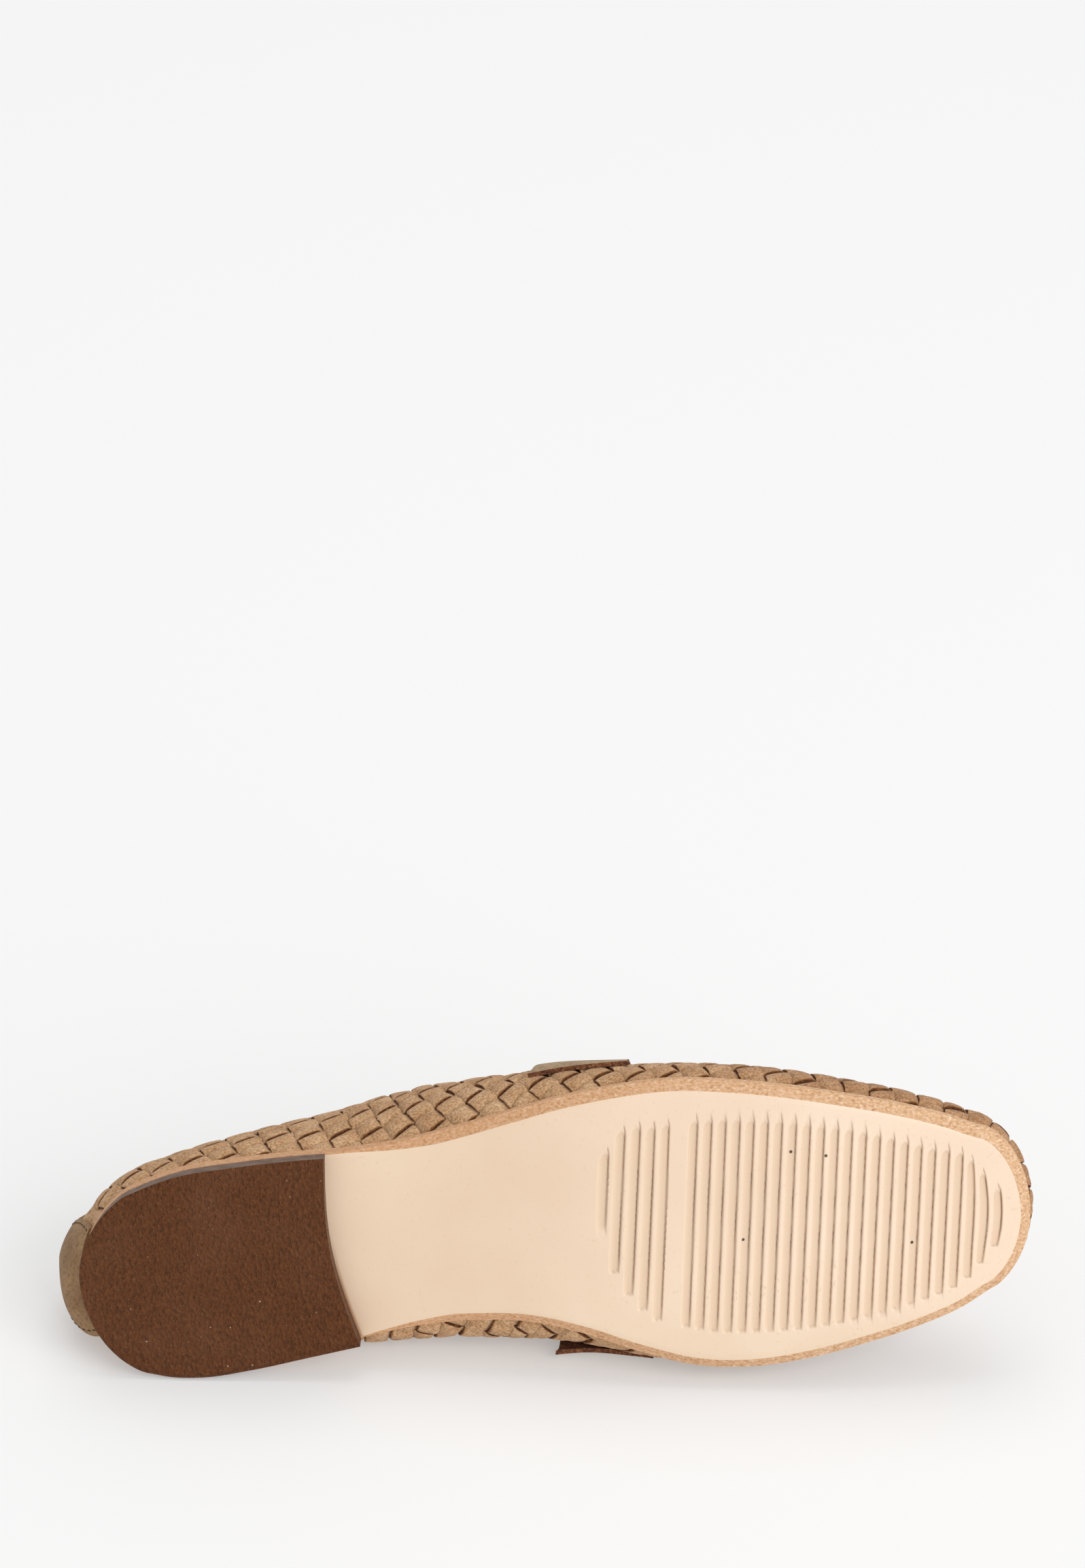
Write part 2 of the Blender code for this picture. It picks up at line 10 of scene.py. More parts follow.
import bmesh
import bpy
import numpy as np
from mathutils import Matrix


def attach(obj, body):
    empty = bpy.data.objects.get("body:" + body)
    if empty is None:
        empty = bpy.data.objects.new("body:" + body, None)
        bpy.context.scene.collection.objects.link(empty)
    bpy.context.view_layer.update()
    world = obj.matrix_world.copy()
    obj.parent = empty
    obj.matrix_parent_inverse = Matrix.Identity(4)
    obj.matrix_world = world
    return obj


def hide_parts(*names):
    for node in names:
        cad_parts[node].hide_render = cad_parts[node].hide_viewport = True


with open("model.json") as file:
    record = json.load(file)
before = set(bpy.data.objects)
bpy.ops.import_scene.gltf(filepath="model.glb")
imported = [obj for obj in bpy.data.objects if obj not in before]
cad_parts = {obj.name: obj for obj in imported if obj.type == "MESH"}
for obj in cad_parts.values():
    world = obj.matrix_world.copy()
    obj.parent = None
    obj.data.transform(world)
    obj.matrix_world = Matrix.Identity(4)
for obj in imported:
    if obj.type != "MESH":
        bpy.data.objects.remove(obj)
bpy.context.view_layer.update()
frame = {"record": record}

# Camera. A long lens a little above the shoe, square to its side, as in the photo. Its place and
# tilt put the outline of the sole where the photo has it.
bpy.ops.object.camera_add(
    location=(0.0217, -1.4074, 0.9438),
    rotation=(radians(90 - 28.88), 0.0, radians(0.88)),
)
camera = bpy.context.object
camera.data.sensor_fit = "VERTICAL"
camera.data.sensor_height = 36.0
camera.data.lens = 140.0
bpy.context.scene.camera = camera
bpy.context.scene.view_settings.view_transform = "Standard"


# Outsole. A sheet of vegetable-tanned leather about 3.5 mm thick, cut to the last and pared to a
# raw bevel round the forepart. A heated die pressed the rib panel into it, and it is cemented on.
def table(names, *rows):
    """Columns by name, from rows that are written one under the other."""
    return dict(zip(names.split(), np.array(rows, float).T))


SIGN = {"medial": 1.0, "lateral": -1.0}
FINE = 400
SOLE_LENGTH = 258.0
SOLE_THICKNESS = 3.5
HEEL_HEIGHT = 5.5
OUTLINE = table(
    "x medial lateral",
    (0.5, 26.0, 21.0),
    (16, 27.0, 24.3),
    (22, 28.6, 26.4),
    (30, 29.4, 28.5),
    (45, 28.2, 29.9),
    (60, 25.9, 30.6),
    (75, 23.6, 30.8),
    (90, 21.5, 32.2),
    (105, 20.8, 35.4),
    (120, 21.7, 39.3),
    (135, 25.8, 43.0),
    (150, 32.0, 45.3),
    (165, 37.0, 46.0),
    (180, 38.5, 44.4),
    (195, 37.3, 41.7),
    (210, 34.6, 37.9),
    (225, 31.1, 33.4),
    (238, 26.8, 28.3),
    (247, 22.2, 24.0),
    (SOLE_LENGTH, 20.0, 23.0),
)


def smooth(columns, name, at):
    """One column read anywhere along the table's first column, on a cubic through its rows."""
    places = next(iter(columns.values()))
    values = columns[name]
    slopes = np.gradient(values, places)
    row = np.clip(np.searchsorted(places, at) - 1, 0, len(places) - 2)
    step = places[row + 1] - places[row]
    t = np.clip((at - places[row]) / step, 0.0, 1.0)
    leave = (1 + 2 * t) * (1 - t) ** 2 * values[row] + t * (1 - t) ** 2 * step * slopes[row]
    arrive = t**2 * (3 - 2 * t) * values[row + 1] + t**2 * (t - 1) * step * slopes[row + 1]
    return leave + arrive


def ease(low, high, value):
    """Zero below the low value, one above the high one, and smooth between them."""
    t = np.clip((value - low) / (high - low), 0.0, 1.0)
    return t * t * (3 - 2 * t)


def evenly(points, count):
    """The same line cut into a number of equal lengths."""
    lengths = np.linalg.norm(np.diff(points, axis=0), axis=1)
    travelled = np.concatenate(([0.0], np.cumsum(lengths)))
    wanted = np.linspace(0.0, travelled[-1], count + 1)
    return np.column_stack([np.interp(wanted, travelled, axis) for axis in points.T])


def side_line(columns, side):
    """One side of a closed outline from its back end to its front end, at equal steps."""
    roundness = 1.6
    places = columns["x"]
    turn = np.linspace(0.0, np.pi, FINE)
    x = places[0] + (places[-1] - places[0]) * (1 - np.cos(turn)) / 2
    back = np.clip((places[1] - x) / (places[1] - places[0]), 0.0, 1.0)
    front = np.clip((x - places[-2]) / (places[-1] - places[-2]), 0.0, 1.0)
    closing = np.sqrt(1 - np.maximum(back, front) ** roundness)
    return evenly(np.column_stack((x, SIGN[side] * smooth(columns, side, x) * closing)), FINE)


def inset(loop, distance):
    """A closed outline moved inwards, by one distance or by one for each point."""
    along = np.roll(loop, -1, axis=0) - np.roll(loop, 1, axis=0)
    outward = np.column_stack((along[:, 1], -along[:, 0]))
    outward /= np.linalg.norm(outward, axis=1)[:, None]
    return loop - outward * np.broadcast_to(distance, len(loop))[:, None]


def sole_loop():
    """The sole's edge as one closed loop: heel back, outer side, toe, inner side."""
    outer = side_line(OUTLINE, "lateral")
    inner = side_line(OUTLINE, "medial")
    return np.concatenate((outer, inner[-2:0:-1]))


def both_sides(loop):
    """The outer and the inner half of a closed loop, each from heel to toe."""
    half = len(loop) // 2 + 1
    return {"lateral": loop[:half], "medial": np.roll(loop[::-1], 1, axis=0)[:half]}


def read_line(line, share):
    """Points at given shares of the way along a line."""
    shares = np.linspace(0.0, 1.0, len(line))
    return np.column_stack([np.interp(share, shares, axis) for axis in line.T])


def tread_height(x):
    """Height of the sole's underside: level seat, arch, flat forepart and toe spring."""
    arch_back, arch_front = 75.0, 155.0
    spring_start, toe_spring = 185.0, 7.0
    arch = np.clip((arch_front - x) / (arch_front - arch_back), 0.0, 1.0)
    toe = np.clip((x - spring_start) / (SOLE_LENGTH - spring_start), 0.0, 1.0)
    return HEEL_HEIGHT * arch**2 * (3 - 2 * arch) + toe_spring * toe**2


def lay_down(points):
    """Points of the shoe's frame, in mm, as the shoe lies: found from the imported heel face."""
    heel_face = np.array((0.035, 0.0, 0.0))
    mount = frame["record"]["mounts"][0]
    up = -np.array(mount["axis"], float)
    forward = np.array((-up[2], 0.0, up[0]))
    forward /= np.linalg.norm(forward)
    turn = np.column_stack((forward, np.cross(up, forward), up))
    shift = np.array(mount["pos_m"], float) - turn @ heel_face
    return np.asarray(points, float) * 0.001 @ turn.T + shift


def grid_faces(rows, columns, closed=False):
    """Quads over a grid of points, the second way round closed to a tube if asked."""
    row, column = np.meshgrid(np.arange(rows - 1), np.arange(columns - (not closed)), indexing="ij")
    after = (column + 1) % columns
    low, high = row * columns, (row + 1) * columns
    corners = (low + column, low + after, high + after, high + column)
    return np.stack([corner.ravel() for corner in corners], axis=1)


def add_piece(name, points, faces, materials, kinds=None, uv=None, marks=None):
    """A closed mesh from points in mm, with its doubles merged and its faces turned outwards."""
    mesh = bpy.data.meshes.new(name)
    mesh.from_pydata(lay_down(points).tolist(), [], np.asarray(faces).tolist())
    for material in materials:
        mesh.materials.append(material)
    if kinds is not None:
        mesh.polygons.foreach_set("material_index", np.asarray(kinds, np.int32))
    if uv is not None:
        corner = np.zeros(len(mesh.loops), np.int32)
        mesh.loops.foreach_get("vertex_index", corner)
        layer = mesh.uv_layers.new(name="pattern")
        layer.data.foreach_set("uv", np.asarray(uv, np.float32)[corner].ravel())
    if marks is not None:
        layer = mesh.attributes.new("marks", "FLOAT_COLOR", "POINT")
        layer.data.foreach_set("color", np.asarray(marks, np.float32).ravel())
    shape = bmesh.new()
    shape.from_mesh(mesh)
    bmesh.ops.delete(shape, geom=[v for v in shape.verts if not v.link_faces], context="VERTS")
    bmesh.ops.remove_doubles(shape, verts=shape.verts, dist=0.000002)
    open_edges = [edge for edge in shape.edges if edge.is_boundary]
    bmesh.ops.holes_fill(shape, edges=open_edges, sides=0)
    bmesh.ops.recalc_face_normals(shape, faces=shape.faces)
    shape.to_mesh(mesh)
    shape.free()
    mesh.shade_smooth()
    mesh.set_sharp_from_angle(angle=radians(50))
    piece = bpy.data.objects.new(name, mesh)
    bpy.context.scene.collection.objects.link(piece)
    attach(piece, "root")
    return piece


def linear(hex_colour):
    """An sRGB hex colour as the linear colour that shaders use."""
    channels = [int(hex_colour[i : i + 2], 16) / 255 for i in (1, 3, 5)]
    return (*[c / 12.92 if c <= 0.04045 else ((c + 0.055) / 1.055) ** 2.4 for c in channels], 1.0)


def add_node(material, kind, inputs, **settings):
    """A shader node with its settings, and its inputs set or linked."""
    node = material.node_tree.nodes.new(kind)
    for name, value in settings.items():
        setattr(node, name, value)
    for name, value in inputs.items():
        if isinstance(value, bpy.types.NodeSocket):
            material.node_tree.links.new(value, node.inputs[name])
        else:
            node.inputs[name].default_value = value
    return node


def noise(material, vector, size, detail=2.0, stretch=(1.0, 1.0, 1.0)):
    """Noise with features of one real size, in metres, stretched along the axes if asked."""
    scaled = add_node(material, "ShaderNodeMapping", {"Vector": vector, "Scale": stretch})
    inputs = {"Vector": scaled.outputs["Vector"], "Scale": 1.0 / size, "Detail": detail}
    return add_node(material, "ShaderNodeTexNoise", inputs).outputs["Fac"]


def ramp(material, factor, *stops):
    """A colour ramp through places and sRGB colours."""
    node = add_node(material, "ShaderNodeValToRGB", {"Fac": factor})
    elements = node.color_ramp.elements
    while len(elements) < len(stops):
        elements.new(0.5)
    for element, (place, colour) in zip(elements, stops):
        element.position = place
        element.color = linear(colour)
    return node.outputs["Color"]


def blend(material, factor, first, second, how="MIX"):
    """Two colours mixed by a factor."""
    inputs = {0: factor, 6: first, 7: second}
    node = add_node(material, "ShaderNodeMix", inputs, data_type="RGBA", blend_type=how)
    return node.outputs[2]


def level(material, value, low, high):
    """A value cut to the stretch between a low and a high one, as a smooth zero to one."""
    inputs = {"Value": value, "From Min": low, "From Max": high}
    node = add_node(material, "ShaderNodeMapRange", inputs, interpolation_type="SMOOTHSTEP")
    return node.outputs["Result"]


def bump(material, height, distance, strength=1.0):
    """Relief from a height, with its depth in metres."""
    inputs = {"Height": height, "Distance": distance, "Strength": strength}
    return add_node(material, "ShaderNodeBump", inputs).outputs["Normal"]


def new_material(name, roughness, extra=()):
    """A Principled material with a roughness, its shader and its Object coordinates."""
    material = bpy.data.materials.new(name)
    material.use_nodes = True
    shader = material.node_tree.nodes["Principled BSDF"]
    shader.inputs["Roughness"].default_value = roughness
    for socket, value in extra:
        shader.inputs[socket].default_value = value
    place = add_node(material, "ShaderNodeTexCoord", {}).outputs["Object"]
    return material, shader, place


def dress(material, shader, colour, normal=None):
    """Links a finished colour and relief to the shader."""
    material.node_tree.links.new(colour, shader.inputs["Base Color"])
    if normal is not None:
        material.node_tree.links.new(normal, shader.inputs["Normal"])


# Smooth cream grain leather, pinkish and painted darker as shade in the pressed valleys, with a
# painted shadow line in the groove beside each rib and a few dark specks where grit was trodden
# in. Its tone holds painted light and shade: lighter toward the toe, as if lit from the toe's
# side, and darker toward the heel and along the low side near the floor.
sole_leather, shader, place = new_material("smooth sole leather", 0.42)
blotch = noise(sole_leather, place, 0.045, 3.0)
heel_tone = ramp(sole_leather, blotch, (0.30, "#DCC1A5"), (0.55, "#E1C8AC"), (0.75, "#E5CEB4"))
toe_tone = ramp(sole_leather, blotch, (0.30, "#E6CDB4"), (0.55, "#EAD2BA"), (0.75, "#EDD7C1"))
axes = add_node(sole_leather, "ShaderNodeSeparateXYZ", {"Vector": place}).outputs
# Painted light and shade: lighter toward the toe, darker toward the heel and near the floor.
lit_toward_toe = level(sole_leather, axes["X"], -0.07, 0.10)
shaded_low_side = level(sole_leather, axes["Z"], 0.045, 0.0)
shaded_toe = blend(sole_leather, shaded_low_side, toe_tone, heel_tone)
cream = blend(sole_leather, lit_toward_toe, heel_tone, shaded_toe)
pores = level(sole_leather, noise(sole_leather, place, 0.0011, 2.0), 0.62, 0.75)
cream = blend(sole_leather, pores, cream, blend(sole_leather, 0.5, cream, linear("#D9BC98")))
mark = add_node(sole_leather, "ShaderNodeAttribute", {}, attribute_name="marks").outputs["Color"]
channel = add_node(sole_leather, "ShaderNodeSeparateColor", {"Color": mark})
# Painted shade: green darkens the valleys, red paints the shadow line in the groove beside each rib.
cream = blend(sole_leather, channel.outputs["Green"], cream, linear("#DBC0A4"))
cream = blend(sole_leather, channel.outputs["Red"], cream, linear("#A27C5C"))
cream = blend(sole_leather, channel.outputs["Blue"], cream, linear("#9C6238"))
GRIT = ((195.0, -23.2, 0.88), (180.2, 1.0, 0.7), (204.3, -21.5, 0.41), (225.4, 6.2, 2.89))
for spot in lay_down(GRIT):
    inputs = {0: place, 1: spot.tolist()}
    away = add_node(sole_leather, "ShaderNodeVectorMath", inputs, operation="DISTANCE")
    speck = level(sole_leather, away.outputs["Value"], 0.0006, 0.0003)
    cream = blend(sole_leather, speck, cream, linear("#4A382C"))
fine_grain = noise(sole_leather, place, 0.0006, 3.0)
dress(sole_leather, shader, cream, bump(sole_leather, fine_grain, 0.00004, 0.5))

# Raw pared edge: orange-tan fibres with pale and dark flecks, matt and rough.
raw_edge, shader, place = new_material("raw pared leather edge", 0.85)
fibre = noise(raw_edge, place, 0.0006, 4.0, (0.6, 1.0, 1.0))
colour = ramp(
    raw_edge,
    fibre,
    (0.30, "#AF8560"),
    (0.45, "#CEA47C"),
    (0.60, "#DAB592"),
    (0.74, "#EBD3B6"),
)
along = add_node(raw_edge, "ShaderNodeSeparateXYZ", {"Vector": place}).outputs["X"]
paler = level(raw_edge, along, -0.06, 0.12)
colour = blend(raw_edge, paler, blend(raw_edge, 0.4, colour, linear("#B0703A")), colour)
dress(raw_edge, shader, colour, bump(raw_edge, fibre, 0.0002, 0.7))

# Rib panel: its outline, the spacing and slant of its ribs, and the one wide band that stays bare.
PANEL = table(
    "x medial lateral",
    (142.5, -9.0, 24.0),
    (147.0, 6.0, 32.0),
    (155.0, 18.7, 33.2),
    (170.0, 25.7, 34.0),
    (190.0, 27.8, 32.2),
    (210.0, 26.8, 27.6),
    (228.0, 23.3, 21.0),
    (242.0, 17.7, 15.0),
    (250.0, 9.0, 5.0),
)
RIB_PITCH = 3.76
RIB_SLANT = radians(6.8)
RIB_FIRST = 143.9
RIB_LAST = 28
RIB_BARE = 5
RIB_DEPTH, LINE_DEPTH, CROWN_RISE = 0.75, 0.25, 0.10

# Half-moon creases on the ribs, painted dark as their shadow: number of the rib, place across the
# sole and half length.
HALF_MOONS = (
    (14, 16.5, 4.1),
    (16, 13.2, 3.7),
    (12, 14.7, 2.2),
    (10, 18.1, 2.4),
    (9, 16.9, 1.6),
    (11, 16.0, 1.6),
    (7, 17.9, 1.6),
)


def rib_press(x, y):
    """Depth pressed into the sole, as a share of the full depth, the groove beside each rib, which is
    painted dark as its shadow, and how far a rib's crown stands up."""
    middle = (smooth(PANEL, "medial", x) - smooth(PANEL, "lateral", x)) / 2
    bowed = 0.012 * ease(240.0, 250.0, x) * (y - middle) ** 2
    number = (x + np.tan(RIB_SLANT) * (y - middle) + bowed - RIB_FIRST) / RIB_PITCH
    nearest = np.clip(np.round(number), 0, RIB_LAST)
    across = number - nearest
    valley_x = RIB_FIRST + RIB_PITCH * nearest
    to_medial = smooth(PANEL, "medial", valley_x) - y
    to_lateral = smooth(PANEL, "lateral", valley_x) + y
    kept = (nearest != RIB_BARE) * (np.abs(across) < 0.5)
    inside = kept * ease(-0.3, 0.3, to_medial) * ease(-0.5, 1.0, to_lateral - 14.0 * across**2)
    valley = ease(-0.46, -0.16, across) * (1 - ease(0.20, 0.27, across))
    curl = 0.10 * ease(0.0, 2.6, 0.6 - to_lateral)
    line = np.exp(-(((across - 0.225 + curl) / 0.042) ** 2))
    line = line * kept * ease(-0.2, 5.0, to_medial) * ease(-2.4, -1.0, to_lateral)
    closing = np.exp(-((to_medial / 0.22) ** 2)) * (np.abs(across) < 0.24) * kept
    line = np.maximum(line, 0.35 * closing)
    for rib, centre, half in HALF_MOONS:
        reach = 1 - ((y - centre) / half) ** 2
        crease = np.exp(-(((across - 0.23 - 0.36 * np.maximum(reach, 0.0)) / 0.035) ** 2))
        line = np.maximum(line, 0.5 * crease * (nearest == rib) * (reach > 0))
    beside = np.where(across > 0, across - 0.38, across + 0.62)
    crown = np.exp(-((beside / 0.10) ** 2))
    crown = crown * ease(-0.5, 2.0, to_medial) * ease(-1.5, 1.5, to_lateral)
    return inside * valley, line, crown * (nearest > 0) * (np.abs(nearest - RIB_BARE + 0.5) > 0.6)


HEEL_BEVEL, FORE_BEVEL, BEVEL_RISE = 0.5, 2.7, 1.6
BEVEL_START, BEVEL_GROWTH = 76.0, 24.0
ROUGHNESS = 0.07
BREAST = {"lateral": 70.4, "medial": 74.2}
BREAST_HOLLOW = 3.1
chance = np.random.default_rng(7)
edge_loop = sole_loop()
forepart = np.clip((edge_loop[:, 0] - BEVEL_START) / BEVEL_GROWTH, 0.0, 1.0)
bevel = HEEL_BEVEL + (FORE_BEVEL - HEEL_BEVEL) * forepart
edge_height = (BEVEL_RISE * bevel / FORE_BEVEL)[:, None]
rim = both_sides(np.hstack((edge_loop, edge_height)))
flat = both_sides(inset(edge_loop, bevel))
shares = np.concatenate(
    (
        np.linspace(0.0, 0.27, 36),
        np.linspace(0.27, 0.32, 40)[1:],
        np.linspace(0.32, 0.53, 50)[1:],
        np.linspace(0.53, 0.95, 540)[1:],
        np.linspace(0.95, 1.0, 24)[1:],
    )
)
ends = {side: (read_line(flat[side], shares), read_line(rim[side], shares)) for side in SIGN}
across = np.concatenate(
    (
        np.linspace(0.0, 0.10, 5),
        np.linspace(0.10, 0.30, 26)[1:],
        np.linspace(0.30, 0.68, 14)[1:],
        np.linspace(0.68, 0.92, 34)[1:],
        np.linspace(0.92, 1.0, 4)[1:],
    )
)[None, :, None]
lateral, medial = ends["lateral"][0][:, None], ends["medial"][0][:, None]
bottom = lateral + (medial - lateral) * across
pressed, line, crown = rib_press(bottom[..., 0], bottom[..., 1])
depth = RIB_DEPTH * pressed + LINE_DEPTH * line - CROWN_RISE * crown
under = np.dstack((bottom, tread_height(bottom[..., 0]) + depth))


def edge_rows(side):
    """Rows of points up the bevel and the edge of one side, from the tread to the top."""
    foot, top = ends[side]
    rows = []
    for step in np.linspace(0.0, 1.0, 6)[1:]:
        rough = chance.normal(0.0, ROUGHNESS, len(shares)) * (step < 1) * np.clip(shares * 4 - 1, 0, 1)
        spot = foot + (top[:, :2] - foot) * step
        rows.append(np.column_stack((spot, tread_height(spot[:, 0]) + top[:, 2] * step + rough)))
    for lift in (0.4, 1.0):
        height = top[:, 2] + (SOLE_THICKNESS - top[:, 2]) * lift
        rows.append(np.column_stack((top[:, :2], tread_height(top[:, 0]) + height)))
    return np.stack(rows, axis=1)


inner_edge, outer_edge = edge_rows("medial"), edge_rows("lateral")
over = np.linspace(0.0, 1.0, 8)[1:-1][None, :, None]
upper_face = inner_edge[:, -1:] + (outer_edge[:, -1:] - inner_edge[:, -1:]) * over
ring = np.concatenate((under, inner_edge, upper_face, outer_edge[:, ::-1]), axis=1)
count = ring.shape[1]
kinds = np.ones(count, int)
kinds[: under.shape[1] - 1] = 0
share = across[..., 0]
breast_line = BREAST["lateral"] + (BREAST["medial"] - BREAST["lateral"]) * share
breast_line = breast_line - BREAST_HOLLOW * np.sin(np.pi * share)
# A thin orange-brown band on the sole's underside along the heel's breast, toward its inner side.
breast_band = np.exp(-(((bottom[..., 0] - breast_line + 0.1) / 0.5) ** 2)) * ease(0.35, 0.8, share)

# Marks on the leather: red for the groove beside a rib and its creases, painted dark as their
# shadow, green for a valley, pinkish and painted darker as its shade, blue for a thin
# orange-brown band along the heel's breast.
marks = np.zeros((*ring.shape[:2], 4))
marks[:, : under.shape[1], 0] = 0.8 * line
marks[:, : under.shape[1], 1] = 0.75 * pressed
marks[:, : under.shape[1], 2] = 0.8 * breast_band
outsole = add_piece(
    "leather_outsole",
    ring.reshape(-1, 3),
    grid_faces(len(ring), count, closed=True),
    (sole_leather, raw_edge),
    np.tile(kinds, len(ring) - 1),
    marks=marks.reshape(-1, 4),
)
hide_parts("outsole")


# Heel lift. One block of brown rubber, moulded with a pebbled leather grain on its tread, trimmed
# smooth round the side and cemented under the back of the outsole.
sheen = (("Specular IOR Level", 0.4), ("Specular Tint", linear("#E8BE9C")))
heel_rubber, shader, place = new_material("pebbled heel rubber", 0.36, sheen)
patch = noise(heel_rubber, place, 0.02, 3.0)
pebble = noise(heel_rubber, place, 0.0009, 2.0, (1.0, 1.0, 0.7))
# The colour follows the pebbles' height: painted shade in the hollows, painted light on the tops.
colour = ramp(heel_rubber, pebble, (0.32, "#472610"), (0.50, "#552E16"), (0.68, "#5E3519"))
worn = blend(heel_rubber, 0.3, colour, linear("#6B4530"))
colour = blend(heel_rubber, level(heel_rubber, patch, 0.35, 0.75), colour, worn)
speck = level(heel_rubber, noise(heel_rubber, place, 0.0009, 0.0), 0.86, 0.88)
colour = blend(heel_rubber, speck, colour, linear("#A08671"))
dress(heel_rubber, shader, colour, bump(heel_rubber, pebble, 0.0014, 1.0))

# The trimmed side of the rubber: smooth, greyer and paler.
trimmed_rubber, shader, place = new_material("trimmed rubber side", 0.7)
patch = noise(trimmed_rubber, place, 0.003)
colour = ramp(trimmed_rubber, patch, (0.3, "#5E4636"), (0.7, "#776053"))
dress(trimmed_rubber, shader, colour)

heel_steps, heel_across = 60, 40
flare, edge_round = 0.45, 0.3
edge_level, top_level = 0.25, 5.2
heel_top = {}
for side, breast in BREAST.items():
    line = side_line(OUTLINE, side)
    heel_top[side] = evenly(line[line[:, 0] < breast], heel_steps - 1)
breast_hollow = np.sin(np.pi * np.linspace(0.0, 1.0, heel_across))[None, :] * BREAST_HOLLOW
toward_breast = (np.linspace(0.0, 1.0, heel_steps)[:, None]) ** 3


def heel_layer(spread, height):
    """One level of the block: its outline spread a little and filled between the two sides."""
    middle, half_size = np.array((70.0, 0.0)), np.array((70.0, 28.0))
    fill = np.linspace(0.0, 1.0, heel_across)[None, :, None]
    outer, inner = heel_top["lateral"][:, None], heel_top["medial"][:, None]
    spot = outer + (inner - outer) * fill
    spot[..., 0] -= breast_hollow * toward_breast
    spot = middle + (spot - middle) * (1 + spread / half_size)
    return np.dstack((spot, np.full(spot.shape[:2], height)))


def grid_border(rows, columns):
    """The points round the border of a grid, in order."""
    return np.concatenate(
        (
            np.arange(columns),
            np.arange(1, rows) * columns + columns - 1,
            (rows - 1) * columns + np.arange(columns - 2, -1, -1),
            np.arange(rows - 2, 0, -1) * columns,
        )
    )


layers = [
    heel_layer(flare - edge_round, 0.0),
    heel_layer(flare, edge_level),
    heel_layer(0.0, top_level),
]
size = heel_steps * heel_across
faces = [grid_faces(heel_steps, heel_across)]
kinds = [np.zeros(len(faces[0]), int)]
border = grid_border(heel_steps, heel_across)
breast_start = heel_across + heel_steps - 2
trimmed = np.ones(len(border), int)
trimmed[breast_start : breast_start + heel_across - 1] = 0
for number in range(len(layers) - 1):
    low, high = border + number * size, border + (number + 1) * size
    faces.append(np.stack((low, np.roll(low, -1), np.roll(high, -1), high), axis=1))
    kinds.append(trimmed * number)
faces.append(grid_faces(heel_steps, heel_across) + (len(layers) - 1) * size)
kinds.append(np.ones(len(faces[0]), int))
heel_lift = add_piece(
    "rubber_heel_lift",
    np.concatenate([layer.reshape(-1, 3) for layer in layers]),
    np.concatenate(faces),
    (heel_rubber, trimmed_rubber),
    np.concatenate(kinds),
)
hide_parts("heel_lift")


# Insole. A thin sheet of tan leather, cut smaller than the outsole, with its upper edge rounded
# off. It is cemented down inside the upper and covers the strips' ends.
INSOLE_INSET, ROUNDED_INSET = 5.2, 6.0
INSOLE_LOW, INSOLE_SHOULDER, INSOLE_TOP = 3.8, 6.2, 6.8

# Tan vegetable-tanned leather, half matt, with a faint grain.
insole_leather, shader, place = new_material("tan insole leather", 0.55)
patch = noise(insole_leather, place, 0.02, 3.0)
colour = ramp(insole_leather, patch, (0.3, "#BE9A70"), (0.7, "#D0AE84"))
relief = bump(insole_leather, noise(insole_leather, place, 0.0007), 0.00005, 0.6)
dress(insole_leather, shader, colour, relief)


def sheet_row(drawn_in, lift, filled=0):
    """One level of the insole from side to side, drawn in from the sole's edge."""
    sides = both_sides(inset(edge_loop, drawn_in))
    share = np.linspace(0.0, 1.0, 150)
    outer, inner = read_line(sides["lateral"], share), read_line(sides["medial"], share)
    fill = np.linspace(0.0, 1.0, filled + 2)[None, :, None]
    spot = outer[:, None] + (inner - outer)[:, None] * fill
    return np.dstack((spot, tread_height(spot[..., 0]) + lift))


low_edge = sheet_row(INSOLE_INSET, INSOLE_LOW)
high_edge = sheet_row(INSOLE_INSET, INSOLE_SHOULDER)
top_face = sheet_row(ROUNDED_INSET, INSOLE_TOP, filled=10)
low_face = sheet_row(ROUNDED_INSET, INSOLE_LOW, filled=10)
inner_edge, outer_edge = (high_edge[:, 1:], low_edge[:, 1:]), (low_edge[:, :1], high_edge[:, :1])
ring = np.concatenate((top_face, *inner_edge, low_face[:, ::-1], *outer_edge), axis=1)
insole = add_piece(
    "leather_insole",
    ring.reshape(-1, 3),
    grid_faces(len(ring), ring.shape[1], closed=True),
    (insole_leather,),
)
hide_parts("insole")


# Upper. Suede strips about 7 mm wide, woven one over one on the diagonal round the last, over a
# thin lining. Their lower ends are lasted under and cemented between the insole and the outsole.
COLLAR = table(
    "x medial lateral sway height",
    (2, 10.0, 10.0, 4.0, 52.0),
    (14, 12.0, 16.0, 4.0, 51.5),
    (30, 15.5, 20.0, 3.5, 50.0),
    (50, 18.5, 24.0, 3.0, 48.0),
    (70, 22.0, 27.2, 2.0, 47.5),
    (86, 25.0, 27.9, 1.0, 51.0),
    (98, 23.0, 24.8, 0.0, 55.7),
    (112, 16.5, 26.0, 0.0, 64.0),
)
CREST = table(
    "x height",
    (100, 69.0),
    (112, 64.0),
    (125, 58.8),
    (140, 53.4),
    (155, 48.8),
    (170, 45.2),
    (185, 42.3),
    (200, 39.6),
    (215, 36.6),
    (228, 33.4),
    (240, 29.0),
    (252, 23.0),
)
